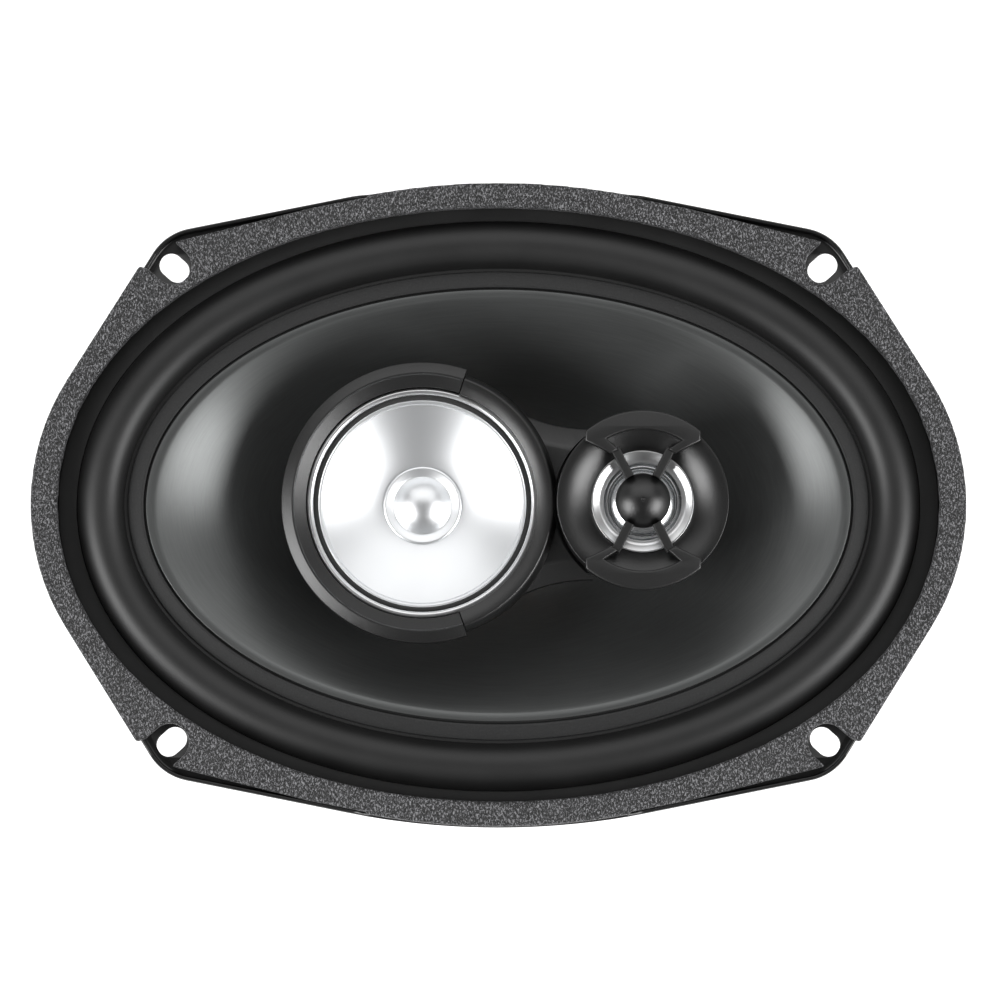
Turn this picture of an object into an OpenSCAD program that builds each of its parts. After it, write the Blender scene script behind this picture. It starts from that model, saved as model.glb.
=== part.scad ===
// Oval three-way coaxial car speaker, lying on its magnet with the cone facing +Z.
// The origin is the centre of the four fixing slots, on the rear face of the flange.
// The long axis runs along X. All sizes are in millimetres.

/* [Cone and surround] */
// Half length of the woofer cone's edge
cone_a = 89.5; // [84:0.5:92]
// Half width of the woofer cone's edge
cone_b = 55; // [52:0.5:56]
// Height that the cone rises from its neck to its edge
cone_rise = 36.8; // [32:0.4:38]
// How strongly the cone flares, where 1 is straight
cone_flare = 1.25; // [1:0.05:1.5]
// Outer radius of the surround's half roll
roll_r = 6; // [5:0.2:6.4]

/* [Frame] */
// Reach of the flange along X from the centre
flange_x = 117.4; // [114:0.2:119]
// Reach of the flange along Y from the centre
flange_y = 82; // [80:0.2:84]
// Sheet thickness of the flange
flange_t = 1; // [0.8:0.1:1.4]
// Spacing of the fixing slots along X
slot_span_x = 165.1; // [160:0.1:168]
// Spacing of the fixing slots along Y
slot_span_y = 120.65; // [118:0.05:123]
// Width of a fixing slot
slot_w = 6; // [5:0.2:6.6]
// Length of a fixing slot, end to end
slot_l = 8.2; // [7:0.2:9]
// Thickness of the front gasket
gasket_t = 3.6; // [2.6:0.2:4.4]
// Depth from the flange's rear face to the back plate's rear face
depth = 84; // [84:1:92]

/* [Motor] */
// Radius of the ring magnet
magnet_r = 45; // [43:0.5:50]
// Radius of the pole piece
pole_r = 17.5; // [17:0.1:17.6]
// Radius of the hollow centre post
post_r = 6; // [5:0.2:6]

/* [Pods] */
// Distance of the midrange driver from the centre, towards -X
mid_x = 19.3; // [19:0.1:20.5]
// Distance of the tweeter from the centre, towards +X
tweeter_x = 36.4; // [36:0.1:38]
// Radius of the midrange cone
mid_cone_r = 26.4; // [25:0.2:26.6]
// Radius of the midrange bezel
bezel_r = 35.6; // [35.2:0.2:36.4]
// Radius of the tweeter housing
tweeter_r = 21.7; // [21:0.1:22]

/* [Hidden] */
$fn = 96;

oval_steps = 72; // points round each oval
glue_gap = 0.1; // film of glue between parts that move against each other's body

// Oval sections, as distances out from the cone's edge
lip_w = 1.6; // flat lip at the cone's edge
inner_flange_w = 4.8; // the surround's inner flange
roll_mid = 11.6; // middle of the surround's roll
wall_in = 23; // inner face of the flange's step
skirt_in = 16; // inner face of the basket's skirt

// Heights
land_z = -3; // seat of the surround's outer flange
edge_z = -2; // underside of the cone's lip
neck_z = edge_z + 0.8 - cone_rise;
skirt_z = -16;
shelf_z = -46; // seat of the spider
plate_top = -depth + 28;
plate_bottom = plate_top - 5;
magnet_bottom = plate_bottom - 17;
back_z = -depth;
pole_top = plate_top + 0.5;
coil_mid = (plate_top + plate_bottom) / 2;

// Radii about the woofer's axis
former_in = pole_r + 0.4;
former_out = former_in + 0.3;
neck_r = former_out + 0.05;
shelf_r = 43;

// Heights of the pods
mid_seat = 2.5; // top of the midrange chassis
mid_neck = -4;
tweeter_rim = 11.5;
tweeter_seat = 6;

function lerp(a, b, s) = a + (b - a) * s;
function flat(lists) = [for (one = lists) each one];
function polar(r, t) = [r * cos(t), r * sin(t)];

// A point at parameter t, a distance d outside the cone's edge
function oval(t, d) =
    let (n = [cone_b * cos(t), cone_a * sin(t)])
    [cone_a * cos(t), cone_b * sin(t)] + d * n / norm(n);

function oval_outline(d) = [for (i = [0:oval_steps - 1]) oval(i * 360 / oval_steps, d)];

// An arc about a centre, as points
function arc(centre, r, from, to, steps) =
    [for (i = [0:steps]) centre + polar(r, lerp(from, to, i / steps))];

// Where two lines cross, each given by its normal's angle and its distance from the origin
function crossing(angle_1, dist_1, angle_2, dist_2) =
    [dist_1 * sin(angle_2) - dist_2 * sin(angle_1),
     dist_2 * cos(angle_1) - dist_1 * cos(angle_2)] / sin(angle_2 - angle_1);

// Mirrors a run of points from the first quadrant into all four
function four_ways(q) = concat(
    q,
    [for (i = [len(q) - 2:-1:0]) [-q[i].x, q[i].y]],
    [for (i = [1:len(q) - 1]) -q[i]],
    [for (i = [len(q) - 2:-1:1]) [q[i].x, -q[i].y]]);

// Outline with round ends, long shallow sides and four blunt corners
function corner_outline(reach_x, reach_y, end_r, side_r, end_turn, side_turn, corner_r) =
    let (
        end_c = [reach_x - end_r, 0],
        side_c = [0, reach_y - side_r],
        end_dist = end_c.x * cos(end_turn) + end_r,
        side_dist = side_c.y * sin(side_turn) + side_r,
        corner_c = crossing(end_turn, end_dist - corner_r, side_turn, side_dist - corner_r))
    four_ways(concat(
        arc(end_c, end_r, 0, end_turn, 8),
        arc(corner_c, corner_r, end_turn, side_turn, 8),
        arc(side_c, side_r, side_turn, 90, 6)));

function flange_outline(inset) =
    corner_outline(flange_x - inset, flange_y - inset, 58 - inset, 196 - inset, 32, 78.7, 14 - inset);

function gasket_outline() =
    corner_outline(flange_x + 1.1, flange_y - 0.2, 59.1, 177, 32, 76, 12);

// Closed skin over rings of points that also join end to end
module loop_skin(rings) {
    n = len(rings);
    m = len(rings[0]);
    faces = [for (i = [0:n - 1], j = [0:m - 1])
        let (a = i * m + j, b = i * m + (j + 1) % m,
             c = ((i + 1) % n) * m + (j + 1) % m, d = ((i + 1) % n) * m + j)
        each [[a, b, c], [a, c, d]]];
    polyhedron(flat(rings), faces);
}

// Closed skin over a run of rings, with a flat cap on each end
module capped_skin(rings) {
    n = len(rings);
    m = len(rings[0]);
    sides = [for (i = [0:n - 2], j = [0:m - 1])
        let (a = i * m + j, b = i * m + (j + 1) % m)
        each [[a, b, b + m], [a, b + m, a + m]]];
    caps = [[for (j = [m - 1:-1:0]) j], [for (j = [0:m - 1]) (n - 1) * m + j]];
    polyhedron(flat(rings), concat(sides, caps));
}

// Sweeps a section, as [distance outside the cone's edge, height], round the oval
module oval_sweep(section) {
    loop_skin([for (i = [0:oval_steps - 1])
        let (t = -i * 360 / oval_steps)
        [for (p = section) [each oval(t, p[0]), p[1]]]]);
}

// A round tube that follows a path of points
module tube_along(path, r, sides = 8) {
    last = len(path) - 1;
    capped_skin([for (i = [0:last])
        let (ahead = path[min(i + 1, last)] - path[max(i - 1, 0)],
             w = ahead / norm(ahead),
             side = cross(w, [1, 0, 0.02]),
             u = side / norm(side),
             v = cross(w, u))
        [for (j = [0:sides - 1]) path[i] + r * (cos(j * 360 / sides) * u + sin(j * 360 / sides) * v)]]);
}

// Rounds a path's corners by placing points along quadratic curves between the mid-points
function smooth_path(p, steps) = concat(
    [p[0]],
    [for (i = [1:len(p) - 2], s = [0:steps])
        let (a = i == 1 ? p[0] : (p[i - 1] + p[i]) / 2,
             b = i == len(p) - 2 ? p[i + 1] : (p[i] + p[i + 1]) / 2,
             k = s / steps)
        if (s > 0)
            (1 - k) * (1 - k) * a + 2 * k * (1 - k) * p[i] + k * k * b]);

module ring(r_in, r_out, z_low, z_high) {
    translate([0, 0, z_low])
        difference() {
            cylinder(r = r_out, h = z_high - z_low);
            translate([0, 0, -1]) cylinder(r = r_in, h = z_high - z_low + 2);
        }
}

module at_mid() { translate([-mid_x, 0, 0]) children(); }
module at_tweeter() { translate([tweeter_x, 0, 0]) children(); }
module at_corners() {
    for (sx = [-1, 1], sy = [-1, 1])
        translate([sx * slot_span_x / 2, sy * slot_span_y / 2, 0])
            rotate([0, 0, sx * sy * slot_angle]) children();
}

// ---- Frame ----

slot_angle = 42; // turn of each slot away from the X axis
rim_w = 0.9; // the lip turned up round each corner
rim_h = 2.6;
leg_count = 6;
leg_turn = 12; // half the turn that a leg takes up
leg_steps = 8;

module slot_cut() {
    end = (slot_l - slot_w) / 2;
    translate([0, 0, -1]) {
        for (s = [-1, 1]) translate([s * end, 0, 0]) cylinder(d = slot_w, h = flange_t + 2);
        translate([-end, -slot_w / 2, 0]) cube([2 * end, slot_w, flange_t + 2]);
    }
}

module oval_block(d, z_low, z_high) {
    translate([0, 0, z_low]) linear_extrude(z_high - z_low) polygon(oval_outline(d));
}

// The flange, the step down to the surround's seat, and the skirt below it
module pressed_tub() {
    difference() {
        union() {
            linear_extrude(flange_t) polygon(flange_outline(0));
            oval_block(wall_in + 1, land_z - 1, flange_t / 2);
            oval_block(skirt_in + 1.4, skirt_z, land_z - 0.5);
        }
        oval_block(wall_in, land_z, flange_t + 1);
        oval_block(skirt_in, skirt_z - 1, land_z + 1);
        at_corners() slot_cut();
    }
}

// Outline of the turned-up lip, which runs only round the four corners
module rim_outline(outset, inset) {
    intersection() {
        difference() {
            polygon(flange_outline(-outset));
            polygon(flange_outline(inset));
        }
        for (sx = [-1, 1], sy = [-1, 1])
            translate([sx * 62, sy * 75]) square([58, 30], center = true);
    }
}

module flange_rim() {
    translate([0, 0, flange_t / 2]) linear_extrude(rim_h + flange_t / 2) rim_outline(-0.02, rim_w);
}

// One point on the basket's wall: s is 0 at the spider shelf and 1 at the skirt
function wall_point(t, s, out) =
    let (p = lerp(polar(shelf_r - 1 + out, t), oval(t, skirt_in + 0.25 + out), s),
         bow = 3 * sin(180 * s))
    [each p + bow * polar(1, t), lerp(shelf_z - 0.8, skirt_z + 0.6, s)];

module leg(t_mid) {
    capped_skin([for (k = [0:leg_steps])
        let (s = k / leg_steps, half = leg_turn * (1 - 0.25 * sin(180 * s)))
        concat(
            [for (q = [-2:2]) wall_point(t_mid + half * q / 2, s, 0)],
            [for (q = [2:-1:-2]) wall_point(t_mid + half * q / 2, s, 0.9)])]);
}

module spider_shelf() {
    rotate_extrude() polygon([
        [22, plate_top], [37, plate_top], [37, shelf_z - 1], [shelf_r + 0.4, shelf_z - 1],
        [shelf_r + 0.4, shelf_z + 2], [shelf_r - 1.2, shelf_z + 2], [shelf_r - 1.2, shelf_z], [36, shelf_z],
        [36, plate_top + 1], [22, plate_top + 1]]);
}

board_y = -50; // middle of the terminal board
board_z = shelf_z - 3;

module terminal_tab() {
    difference() {
        translate([-14, board_y - 6, board_z]) cube([28, 14.5, 1]);
        for (s = [-1, 1]) translate([s * 9, board_y, board_z - 1]) cylinder(r = 1.6, h = 3, $fn = 32);
    }
    translate([-14, board_y + 7.5, board_z]) cube([28, 1, 2.6]);
}

module basket() {
    color("#161616") {
        difference() {
            union() {
                pressed_tub();
                flange_rim();
                for (i = [0:leg_count - 1]) leg(i * 360 / leg_count);
                spider_shelf();
                terminal_tab();
            }
            for (i = [0:3]) rotate([0, 0, 45 + 90 * i]) translate([29, 0, plate_top - 1])
                cylinder(r = 2, h = 3, $fn = 32);
        }
    }
}

notch_w = 9.6; // width of the gasket's cut-out at each slot

module front_gasket() {
    color("#3a3a3c")
        translate([0, 0, flange_t])
            difference() {
                linear_extrude(gasket_t) difference() {
                    polygon(gasket_outline());
                    rim_outline(3, rim_w + 0.1);
                    polygon([for (i = [0:oval_steps - 1])
                        let (t = i * 360 / oval_steps) oval(t, 21.4 + 0.9 * cos(2 * t))]);
                }
                at_corners_outward() notch_cut();
            }
}

module at_corners_outward() {
    for (sx = [-1, 1], sy = [-1, 1])
        translate([sx * slot_span_x / 2, sy * slot_span_y / 2, 0])
            rotate([0, 0, atan2(sy * sin(slot_angle), sx * cos(slot_angle))]) children();
}

module notch_cut() {
    translate([0.4, 0, -1]) cylinder(d = notch_w, h = gasket_t + 2);
    translate([0.4, -notch_w / 2, -1]) cube([24, notch_w, gasket_t + 2]);
}

// ---- Suspension ----

roll_t = 0.6;
roll_base = edge_z - 0.6;

function roll_arc(r, from, to, steps) =
    [for (i = [0:steps]) [roll_mid, roll_base] + polar(r, lerp(from, to, i / steps))];

module surround() {
    color("#1c1c1c")
        oval_sweep(concat(
            [[0.2 - lip_w, edge_z - glue_gap], [inner_flange_w, edge_z - glue_gap],
             [inner_flange_w, roll_base]],
            roll_arc(roll_r, 180, 0, 10),
            [[wall_in - 0.4, land_z + 0.8], [wall_in - 0.4, land_z], [roll_mid + roll_r - 0.6, land_z]],
            roll_arc(roll_r - roll_t, 0, 180, 10),
            [[inner_flange_w, edge_z - 1.3], [0.2 - lip_w, edge_z - 1.3]]));
}

spider_waves = 5;
spider_amp = 1.3;

module spider() {
    r_in = former_out + glue_gap;
    r_out = shelf_r - 1.4;
    flat_out = 6.4;
    steps = spider_waves * 12;
    wave = [for (i = [0:steps])
        [lerp(r_in + 1.4, r_out - flat_out, i / steps),
         shelf_z + 0.3 + spider_amp * sin(360 * spider_waves * i / steps)]];
    top = [for (p = wave) p + [0, 0.3]];
    bottom = [for (i = [steps:-1:0]) wave[i] - [0, 0.25]];
    color("#c9a227")
        rotate_extrude() polygon(concat(
            [[r_in, shelf_z + 1.6], [r_in + 0.6, shelf_z + 1.6]], top,
            [[r_out, shelf_z + 0.6], [r_out, shelf_z + 0.05]], bottom,
            [[r_in, shelf_z + 0.05]]));
}

// ---- Motor ----

rivet_ring = 29;

module top_plate() {
    color("#9a9da0") difference() {
        ring(19.5, 42, plate_bottom, plate_top);
        for (i = [0:3]) rotate([0, 0, 45 + 90 * i]) translate([rivet_ring, 0, plate_bottom - 1])
            cylinder(r = 2, h = 7, $fn = 32);
    }
}

module ring_magnet() {
    color("#2b2b2d") difference() {
        ring(24, magnet_r, magnet_bottom, plate_bottom);
        for (z = [magnet_bottom, plate_bottom])
            translate([0, 0, z]) rotate_extrude() translate([magnet_r, 0])
                rotate([0, 0, 45]) square(1.2, center = true);
    }
}

lead_groove = 4;
counterbore_r = 12;

module back_plate_and_pole() {
    color("#8f9295") difference() {
        union() {
            rotate_extrude() polygon([
                [0, back_z], [42, back_z], [43, back_z + 1], [43, magnet_bottom], [0, magnet_bottom]]);
            rotate_extrude() polygon([
                [0, magnet_bottom - 1], [pole_r, magnet_bottom - 1], [pole_r, pole_top - 1],
                [pole_r - 1, pole_top], [0, pole_top]]);
        }
        translate([0, 0, back_z - 1]) cylinder(r = post_r, h = depth);
        translate([0, 0, back_z - 1]) cylinder(r = counterbore_r, h = 6);
        translate([-lead_groove / 2, -50, back_z - 1]) cube([lead_groove, 50, lead_groove + 1]);
    }
}

module basket_rivets() {
    color("#1a1a1a")
        for (i = [0:3]) rotate([0, 0, 45 + 90 * i]) translate([rivet_ring, 0, 0]) rotate_extrude($fn = 32)
            polygon([[0, plate_bottom], [1.95, plate_bottom], [1.95, plate_top + 1], [3.4, plate_top + 1],
                     [3.2, plate_top + 1.8], [2, plate_top + 2.3], [0, plate_top + 2.4]]);
}

bracket_floor = -13; // where the post's top meets the bracket
post_bore = post_r - 2;

module centre_post() {
    color("#b9bcc0") rotate_extrude() polygon([
        [post_bore, back_z + 4], [post_r + 1.6, back_z + 4], [post_r, back_z + 5], [post_r, pole_top],
        [post_r + 2.5, pole_top], [post_r + 2.5, pole_top + 2], [post_r + 1.5, pole_top + 3],
        [post_r, pole_top + 3], [post_r, bracket_floor - 0.5], [post_r - 0.5, bracket_floor],
        [post_bore, bracket_floor]]);
}

// ---- Moving woofer parts ----

cone_t = 1;
cone_rings = 9;

function cone_point(t, s, base_r) = lerp(polar(base_r, t), oval(t, -lip_w), s);
function cone_height(s) = neck_z + cone_rise * (1 - pow(1 - s, cone_flare));

module woofer_cone() {
    collar_r = neck_r + 0.9;
    color("#4a4d4e") loop_skin([for (i = [0:oval_steps - 1])
        let (t = -i * 360 / oval_steps)
        concat(
            [for (k = [0:cone_rings]) [each cone_point(t, k / cone_rings, neck_r),
                                      cone_height(k / cone_rings)]],
            [[each oval(t, 0), edge_z + 0.6], [each oval(t, 0), edge_z], [each oval(t, -lip_w), edge_z]],
            [for (k = [cone_rings:-1:0]) [each cone_point(t, k / cone_rings, collar_r),
                                         cone_height(k / cone_rings) - cone_t - (k == cone_rings ? 0.2 : 0)]],
            [[each polar(collar_r, t), neck_z - 4], [each polar(neck_r, t), neck_z - 4]])]);
}

module voice_coil_former() { color("#c8842c") ring(former_in, former_out, coil_mid - 6.5, neck_z + 1); }
module voice_coil_winding() { color("#b06a2a") ring(former_out, former_out + 0.7, coil_mid - 6, coil_mid + 6); }

lead_x = 9; // each tinsel lead's distance from the middle at the terminals
anchor_turn = -78;
anchor_way = 0.44; // how far up the cone the leads are fastened
anchor_at = cone_point(anchor_turn, anchor_way, neck_r);
anchor = [each anchor_at, cone_height(anchor_way) - cone_t - 1];

module lead_anchors() {
    color("#151515")
        for (s = [-1, 1]) translate([s * anchor.x, anchor.y, anchor.z]) sphere(r = 1.6, $fn = 24);
}

module tinsel_leads() {
    route = [[lead_x, board_y, board_z + 2], [lead_x, board_y, board_z + 6], [lead_x, -48, -39],
             [lead_x, -43, -33.5], [lead_x, -36, -30.5], [anchor.x, anchor.y, -27],
             anchor - [0, 0, 1.8]];
    color("#b08d57")
        for (s = [-1, 1]) tube_along([for (p = smooth_path(route, 5)) [s * p.x, p.y, p.z]], 0.8);
}

// ---- Terminals, capacitors and the lead to the pods ----

board_t = 2;

module terminal_board() {
    color("#1b1b1b") difference() {
        translate([-26, board_y - 7, board_z - board_t]) cube([52, 14, board_t]);
        for (s = [-1, 1]) translate([s * 9, board_y, board_z - board_t - 1])
            cylinder(r = 1.6, h = board_t + 2, $fn = 32);
    }
}

module terminal_rivets() {
    low = board_z - board_t;
    color("#c9ccd0")
        for (s = [-1, 1]) translate([s * 9, board_y, 0]) rotate_extrude($fn = 32)
            polygon([[0, low - 1.2], [2.2, low - 1.2], [2.6, low - 0.7], [2.6, low - 0.5], [1.55, low - 0.5],
                     [1.55, board_z + 1], [2.4, board_z + 1], [2, board_z + 1.8], [0, board_z + 1.9]]);
}

// A spade terminal that lies on the board's rear face, under its rivet, and points outwards
module spade(x, w) {
    low = board_z - board_t;
    difference() {
        union() {
            translate([x - w / 2, board_y - 18, low - 0.5]) cube([w, 22, 0.5]);
            translate([x - 3.4, board_y - 4, low - 0.5]) cube([6.8, 8, 0.5]);
        }
        translate([x, board_y, low - 1]) cylinder(r = 1.6, h = 2, $fn = 32);
        translate([x, board_y - 13.5, low - 1]) cylinder(r = 0.8, h = 2, $fn = 32);
    }
}

module positive_terminal() { color("#d0b060") spade(-9, 4.8); }
module negative_terminal() { color("#c9ccd0") spade(9, 2.8); }

// A crossover capacitor lying along X, with one wire up to the board at each end
module capacitor(x, r, length) {
    y = board_y - 1;
    z = board_z - board_t - 3 - r;
    translate([x, y, z]) {
        rotate([0, 90, 0]) {
            rotate_extrude($fn = 48) polygon([
                [0, 0], [r - 0.8, 0], [r, 0.8], [r, 2], [r - 0.5, 2.6], [r, 3.2], [r, length - 0.8],
                [r - 0.8, length], [0, length]]);
            translate([0, 0, -2]) cylinder(r = 0.4, h = length + 4, $fn = 24);
        }
        for (e = [-1.6, length + 1.6]) translate([e, 0, 0]) cylinder(r = 0.4, h = r + 3, $fn = 24);
    }
}

module midrange_capacitor() { color("#20305a") capacitor(-24, 5, 20); }
module tweeter_capacitor() { color("#20305a") capacitor(6, 4, 16); }

pod_lead_r = 1.2;

module pod_lead() {
    drop = back_z + 2; // the lead's height in the back plate's groove
    route = [[0, 0, bracket_floor], [0, 0, -30], [0, 0, -60], [0, 0, drop + 4], [0, 0, drop],
             [0, -5, drop], [0, -25, drop], [0, -43, drop], [0, -47.6, drop], [0, -47.6, drop + 5],
             [0, -47.6, -70], [0, -47.6, board_z - board_t - 1.5], [0, -47.6, board_z - board_t - 0.1]];
    color("#202020") tube_along(smooth_path(route, 4), pod_lead_r);
}

// ---- Pods ----

seam_turn = 71; // half the turn from +X that the bridge cover takes up round the midrange
chassis_r = 33; // outer radius of the midrange chassis
collar_r = 34.4; // outer radius of the bridge cover's rounded collar
collar_crest = 32.8; // radius where the collar is highest
post_hub_r = 7.5;
arm_bottom = -7;
arm_top = 1.2;

function arm_side(s) = // the arm's half width along X, as a smooth waist
    let (x = lerp(-2, 24, s)) [x, 19.2 + 8.6 * pow((24 - x) / 26, 2.2)];

function arm_outline(inset) = concat(
    [for (i = [0:10]) arm_side(i / 10) - [0, inset]],
    [for (i = [10:-1:0]) let (p = arm_side(i / 10)) [p.x, inset - p.y]]);

module mid_bowl() {
    at_mid() rotate_extrude() polygon([
        [12, -16], [18, -16], [28, -8], [chassis_r, -1], [chassis_r, 1.5], [31.6, 1.5], [31.6, -0.6],
        [27.2, -6.8], [17.5, -14.5], [12, -14.5]]);
}

module tweeter_cradle() {
    at_tweeter() rotate_extrude() polygon([
        [0, -10.5], [14, -10.5], [19.6, -4.4], [19.6, -3.6], [18.4, -3.6], [13.5, -9], [0, -9]]);
}

module pod_bracket() {
    color("#191919") difference() {
        union() {
            mid_bowl();
            tweeter_cradle();
            cylinder_from(post_hub_r, -22, -8);
            translate([0, 0, arm_bottom]) linear_extrude(3) polygon(arm_outline(2));
        }
        cylinder_from(post_r, -23, bracket_floor);
        cylinder_from(2, -14, 0);
        at_mid() cylinder_from(12, -17, -14);
        at_mid() rotate_extrude() polygon([[0, -14.5], [17.5, -14.5], [27.2, -6.8], [31.6, -0.6], [31.6, 3],
                                           [0, 3]]);
        at_tweeter() rotate_extrude() polygon([[0, -9], [13.5, -9], [18.4, -3.6], [18.4, 3], [0, 3]]);
        for (s = [-1, 1]) translate([15.2, s * 15, 0]) cylinder_from(1.3, arm_bottom - 1, 0);
    }
}

module cylinder_from(r, z_low, z_high) { translate([0, 0, z_low]) cylinder(r = r, h = z_high - z_low); }

// Section of the rounded collar beside the arm, as [radius, height]
function collar_section() = concat(
    [[28.4, mid_seat + 1.9], [28.4, 5.4]],
    [for (i = [0:9]) let (r = lerp(29, collar_r, i / 9), k = (r - collar_crest) / (r < collar_crest ? 3.8 : 1.6))
        [r, 7.2 - (k < 0 ? 1.1 : 3.2) * pow(abs(k), 1.9)]],
    [[collar_r, -1], [chassis_r + 0.05, -1], [chassis_r + 0.05, mid_seat + 0.05],
     [30, mid_seat + 0.05], [30, mid_seat + 1.9]]);

module bridge_cover() {
    color("#1e1e1e") difference() {
        union() {
            at_mid() rotate([0, 0, -seam_turn]) rotate_extrude(angle = 2 * seam_turn)
                polygon(collar_section());
            difference() {
                union() {
                    translate([0, 0, arm_bottom + 3]) linear_extrude(arm_top - arm_bottom - 3)
                        polygon(arm_outline(0));
                    translate([0, 0, arm_top - 0.5]) linear_extrude(1.9) polygon(arm_outline(3));
                }
                at_mid() cylinder_from(chassis_r + 0.05, -20, 20);
            }
        }
        at_tweeter() cylinder_from(tweeter_r + 0.1, -20, 20);
        for (s = [-1, 1]) translate([15.2, s * 15, 0]) cylinder_from(1.1, -5, 0);
    }
}

module bridge_screws() {
    color("#a9acb0")
        for (s = [-1, 1]) translate([15.2, s * 15, 0]) difference() {
            rotate_extrude($fn = 32) polygon([
                [0, arm_bottom - 1.6], [2.2, arm_bottom - 1.6], [2.5, arm_bottom - 1.2], [2.5, arm_bottom],
                [1.05, arm_bottom], [1.05, -0.6], [0, -0.2]]);
            for (turn = [0, 90]) rotate([0, 0, turn]) translate([-1.6, -0.3, arm_bottom - 2])
                cube([3.2, 0.6, 1]);
        }
}

module midrange_bezel() {
    gap = 0.5;
    color("#1e1e1e") at_mid() rotate([0, 0, seam_turn + gap])
        rotate_extrude(angle = 360 - 2 * seam_turn - 2 * gap) polygon([
            [29.4, mid_seat], [29.4, 4.7], [32.3, 7.6], [32.8, 7.8], [bezel_r, 6.6], [bezel_r, 0.4],
            [chassis_r + 0.05, 0.4], [chassis_r + 0.05, mid_seat]]);
}

module midrange_chassis() {
    color("#232323") at_mid() rotate_extrude() polygon([
        [10, -9.5], [14, -9.5], [25.5, -3], [28, 0], [30, 1.5], [chassis_r, 1.5], [chassis_r, mid_seat],
        [29.6, mid_seat], [29.6, 2], [27.4, 2], [27.4, 0.6], [24.8, -1.6], [13.6, -8], [10, -8]]);
}

module midrange_trim_ring() {
    color("#e8eaec") at_mid() rotate_extrude() polygon(concat(
        [[27.6, 2.4], [27.6, 3.3]],
        [for (i = [0:6]) [28.45, 3.5] + polar(0.85, 180 - 30 * i)],
        [[29.3, 2.4]]));
}

module midrange_surround() {
    color("#141414") at_mid() rotate_extrude() polygon(concat(
        [[24.6, 0.8], [26, 0.8], [26.4, 1.1]],
        [for (i = [0:4]) [27, 2] + polar(0.6, 180 - 36 * i)],
        [[27.6, 2.4], [29.2, 2.4], [29.2, 2], [27.2, 2], [26.6, 0.6], [24.6, 0.4]]));
}

// Height of the midrange cone's face at a radius
function mid_cone_height(r) =
    let (k = (r - 9.2) / (mid_cone_r - 9.2)) mid_neck + 6.4 * pow(max(k, 0), 1.35);

module midrange_cone() {
    radii = [for (i = [0:10]) lerp(9.2, mid_cone_r - 0.5, i / 10)];
    color("#d5d8db") at_mid() rotate_extrude() polygon(concat(
        [for (r = radii) [r, mid_cone_height(r) - 0.5]],
        [[mid_cone_r, mid_cone_height(mid_cone_r)], [mid_cone_r, 2.7], [mid_cone_r - 0.5, 2.9]],
        [for (i = [10:-1:0]) [radii[i], mid_cone_height(radii[i])]]));
}

module midrange_dust_cap() {
    cap_r = 7.2;
    cap_h = 3.4;
    ball_r = (cap_r * cap_r + cap_h * cap_h) / (2 * cap_h);
    open = asin(cap_r / ball_r);
    function shell(r) = [for (i = [0:8])
        [r * sin(open * i / 8), mid_neck + cap_h - ball_r + r * cos(open * i / 8)]];
    outer = shell(ball_r);
    inner = shell(ball_r - 0.4);
    color("#d5d8db") at_mid() rotate_extrude() polygon(concat(
        outer, [[7.6, mid_neck + 0.3], [9.1, mid_neck + 0.3], [9.1, mid_neck - 0.2], [7, mid_neck - 0.2]],
        [for (i = [8:-1:0]) inner[i]]));
}

module midrange_voice_coil() {
    color("#b06a2a") at_mid() {
        ring(8.6, 8.9, -12.5, mid_neck - 0.2);
        ring(8.9, 9.4, -12.2, -8.6);
    }
}

module midrange_pole_plate() { color("#9a9da0") at_mid() cylinder_from(8.2, -11.5, -9.5); }
module midrange_magnet() { color("#6d7073") at_mid() cylinder_from(7.8, -14.5, -11.5); }
module midrange_yoke() {
    color("#9a9da0") at_mid() rotate_extrude() polygon([
        [0, -17], [10.8, -17], [11.4, -16.4], [11.4, -9.5], [9.8, -9.5], [9.8, -14.5], [0, -14.5]]);
}

// The tweeter housing's flared mouth, as [radius, height]
function mouth(k) = [lerp(13, tweeter_r - 0.5, k), 8 + (tweeter_rim - 8) * (1 - pow(1 - k, 2.2))];

module tweeter_housing() {
    color("#1e1e1e") at_tweeter() rotate_extrude() polygon(concat(
        [[13, tweeter_seat - 1], [13, tweeter_seat + 1.9]],
        [for (i = [0:8]) mouth(i / 8)],
        [[tweeter_r, tweeter_rim - 0.5], [tweeter_r, 0], [18.3, -3.4], [13.4, -8.9], [0, -8.9], [0, -6],
         [10.2, -6], [10.2, tweeter_seat - 1]]));
}

function grille_quarter() = concat(
    arc([0, 0], 22.7, 90, 50.1, 6),
    [[14.55, 14.8], [8.1, 11.7], [2.85, 1.65], [0.98, 3.55], [6.15, 12.7]],
    arc([0, 0], 17.9, 56.8, 90, 5));

function grille_half() =
    let (q = grille_quarter())
    concat(q, [for (i = [len(q) - 2:-1:1]) [-q[i].x, q[i].y]]);

module tweeter_grille() {
    color("#202020") at_tweeter() {
        for (turn = [0, 180]) rotate([0, 0, turn])
            translate([0, 0, tweeter_rim]) linear_extrude(2.4) polygon(grille_half());
        rotate_extrude() polygon(concat(
            [[0, tweeter_rim - 1.6], [6.9, tweeter_rim - 1.6]],
            [for (i = [0:8]) [6.9 * cos(i * 11.25), tweeter_rim - 0.4 + 3.4 * sin(i * 11.25)]]));
        difference() {
            ring(tweeter_r, 22.5, 8, tweeter_rim + 1);
            for (s = [-1, 1]) translate([s * 24.4, 0, 0]) cube([20, 60, 60], center = true);
        }
    }
}

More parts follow.
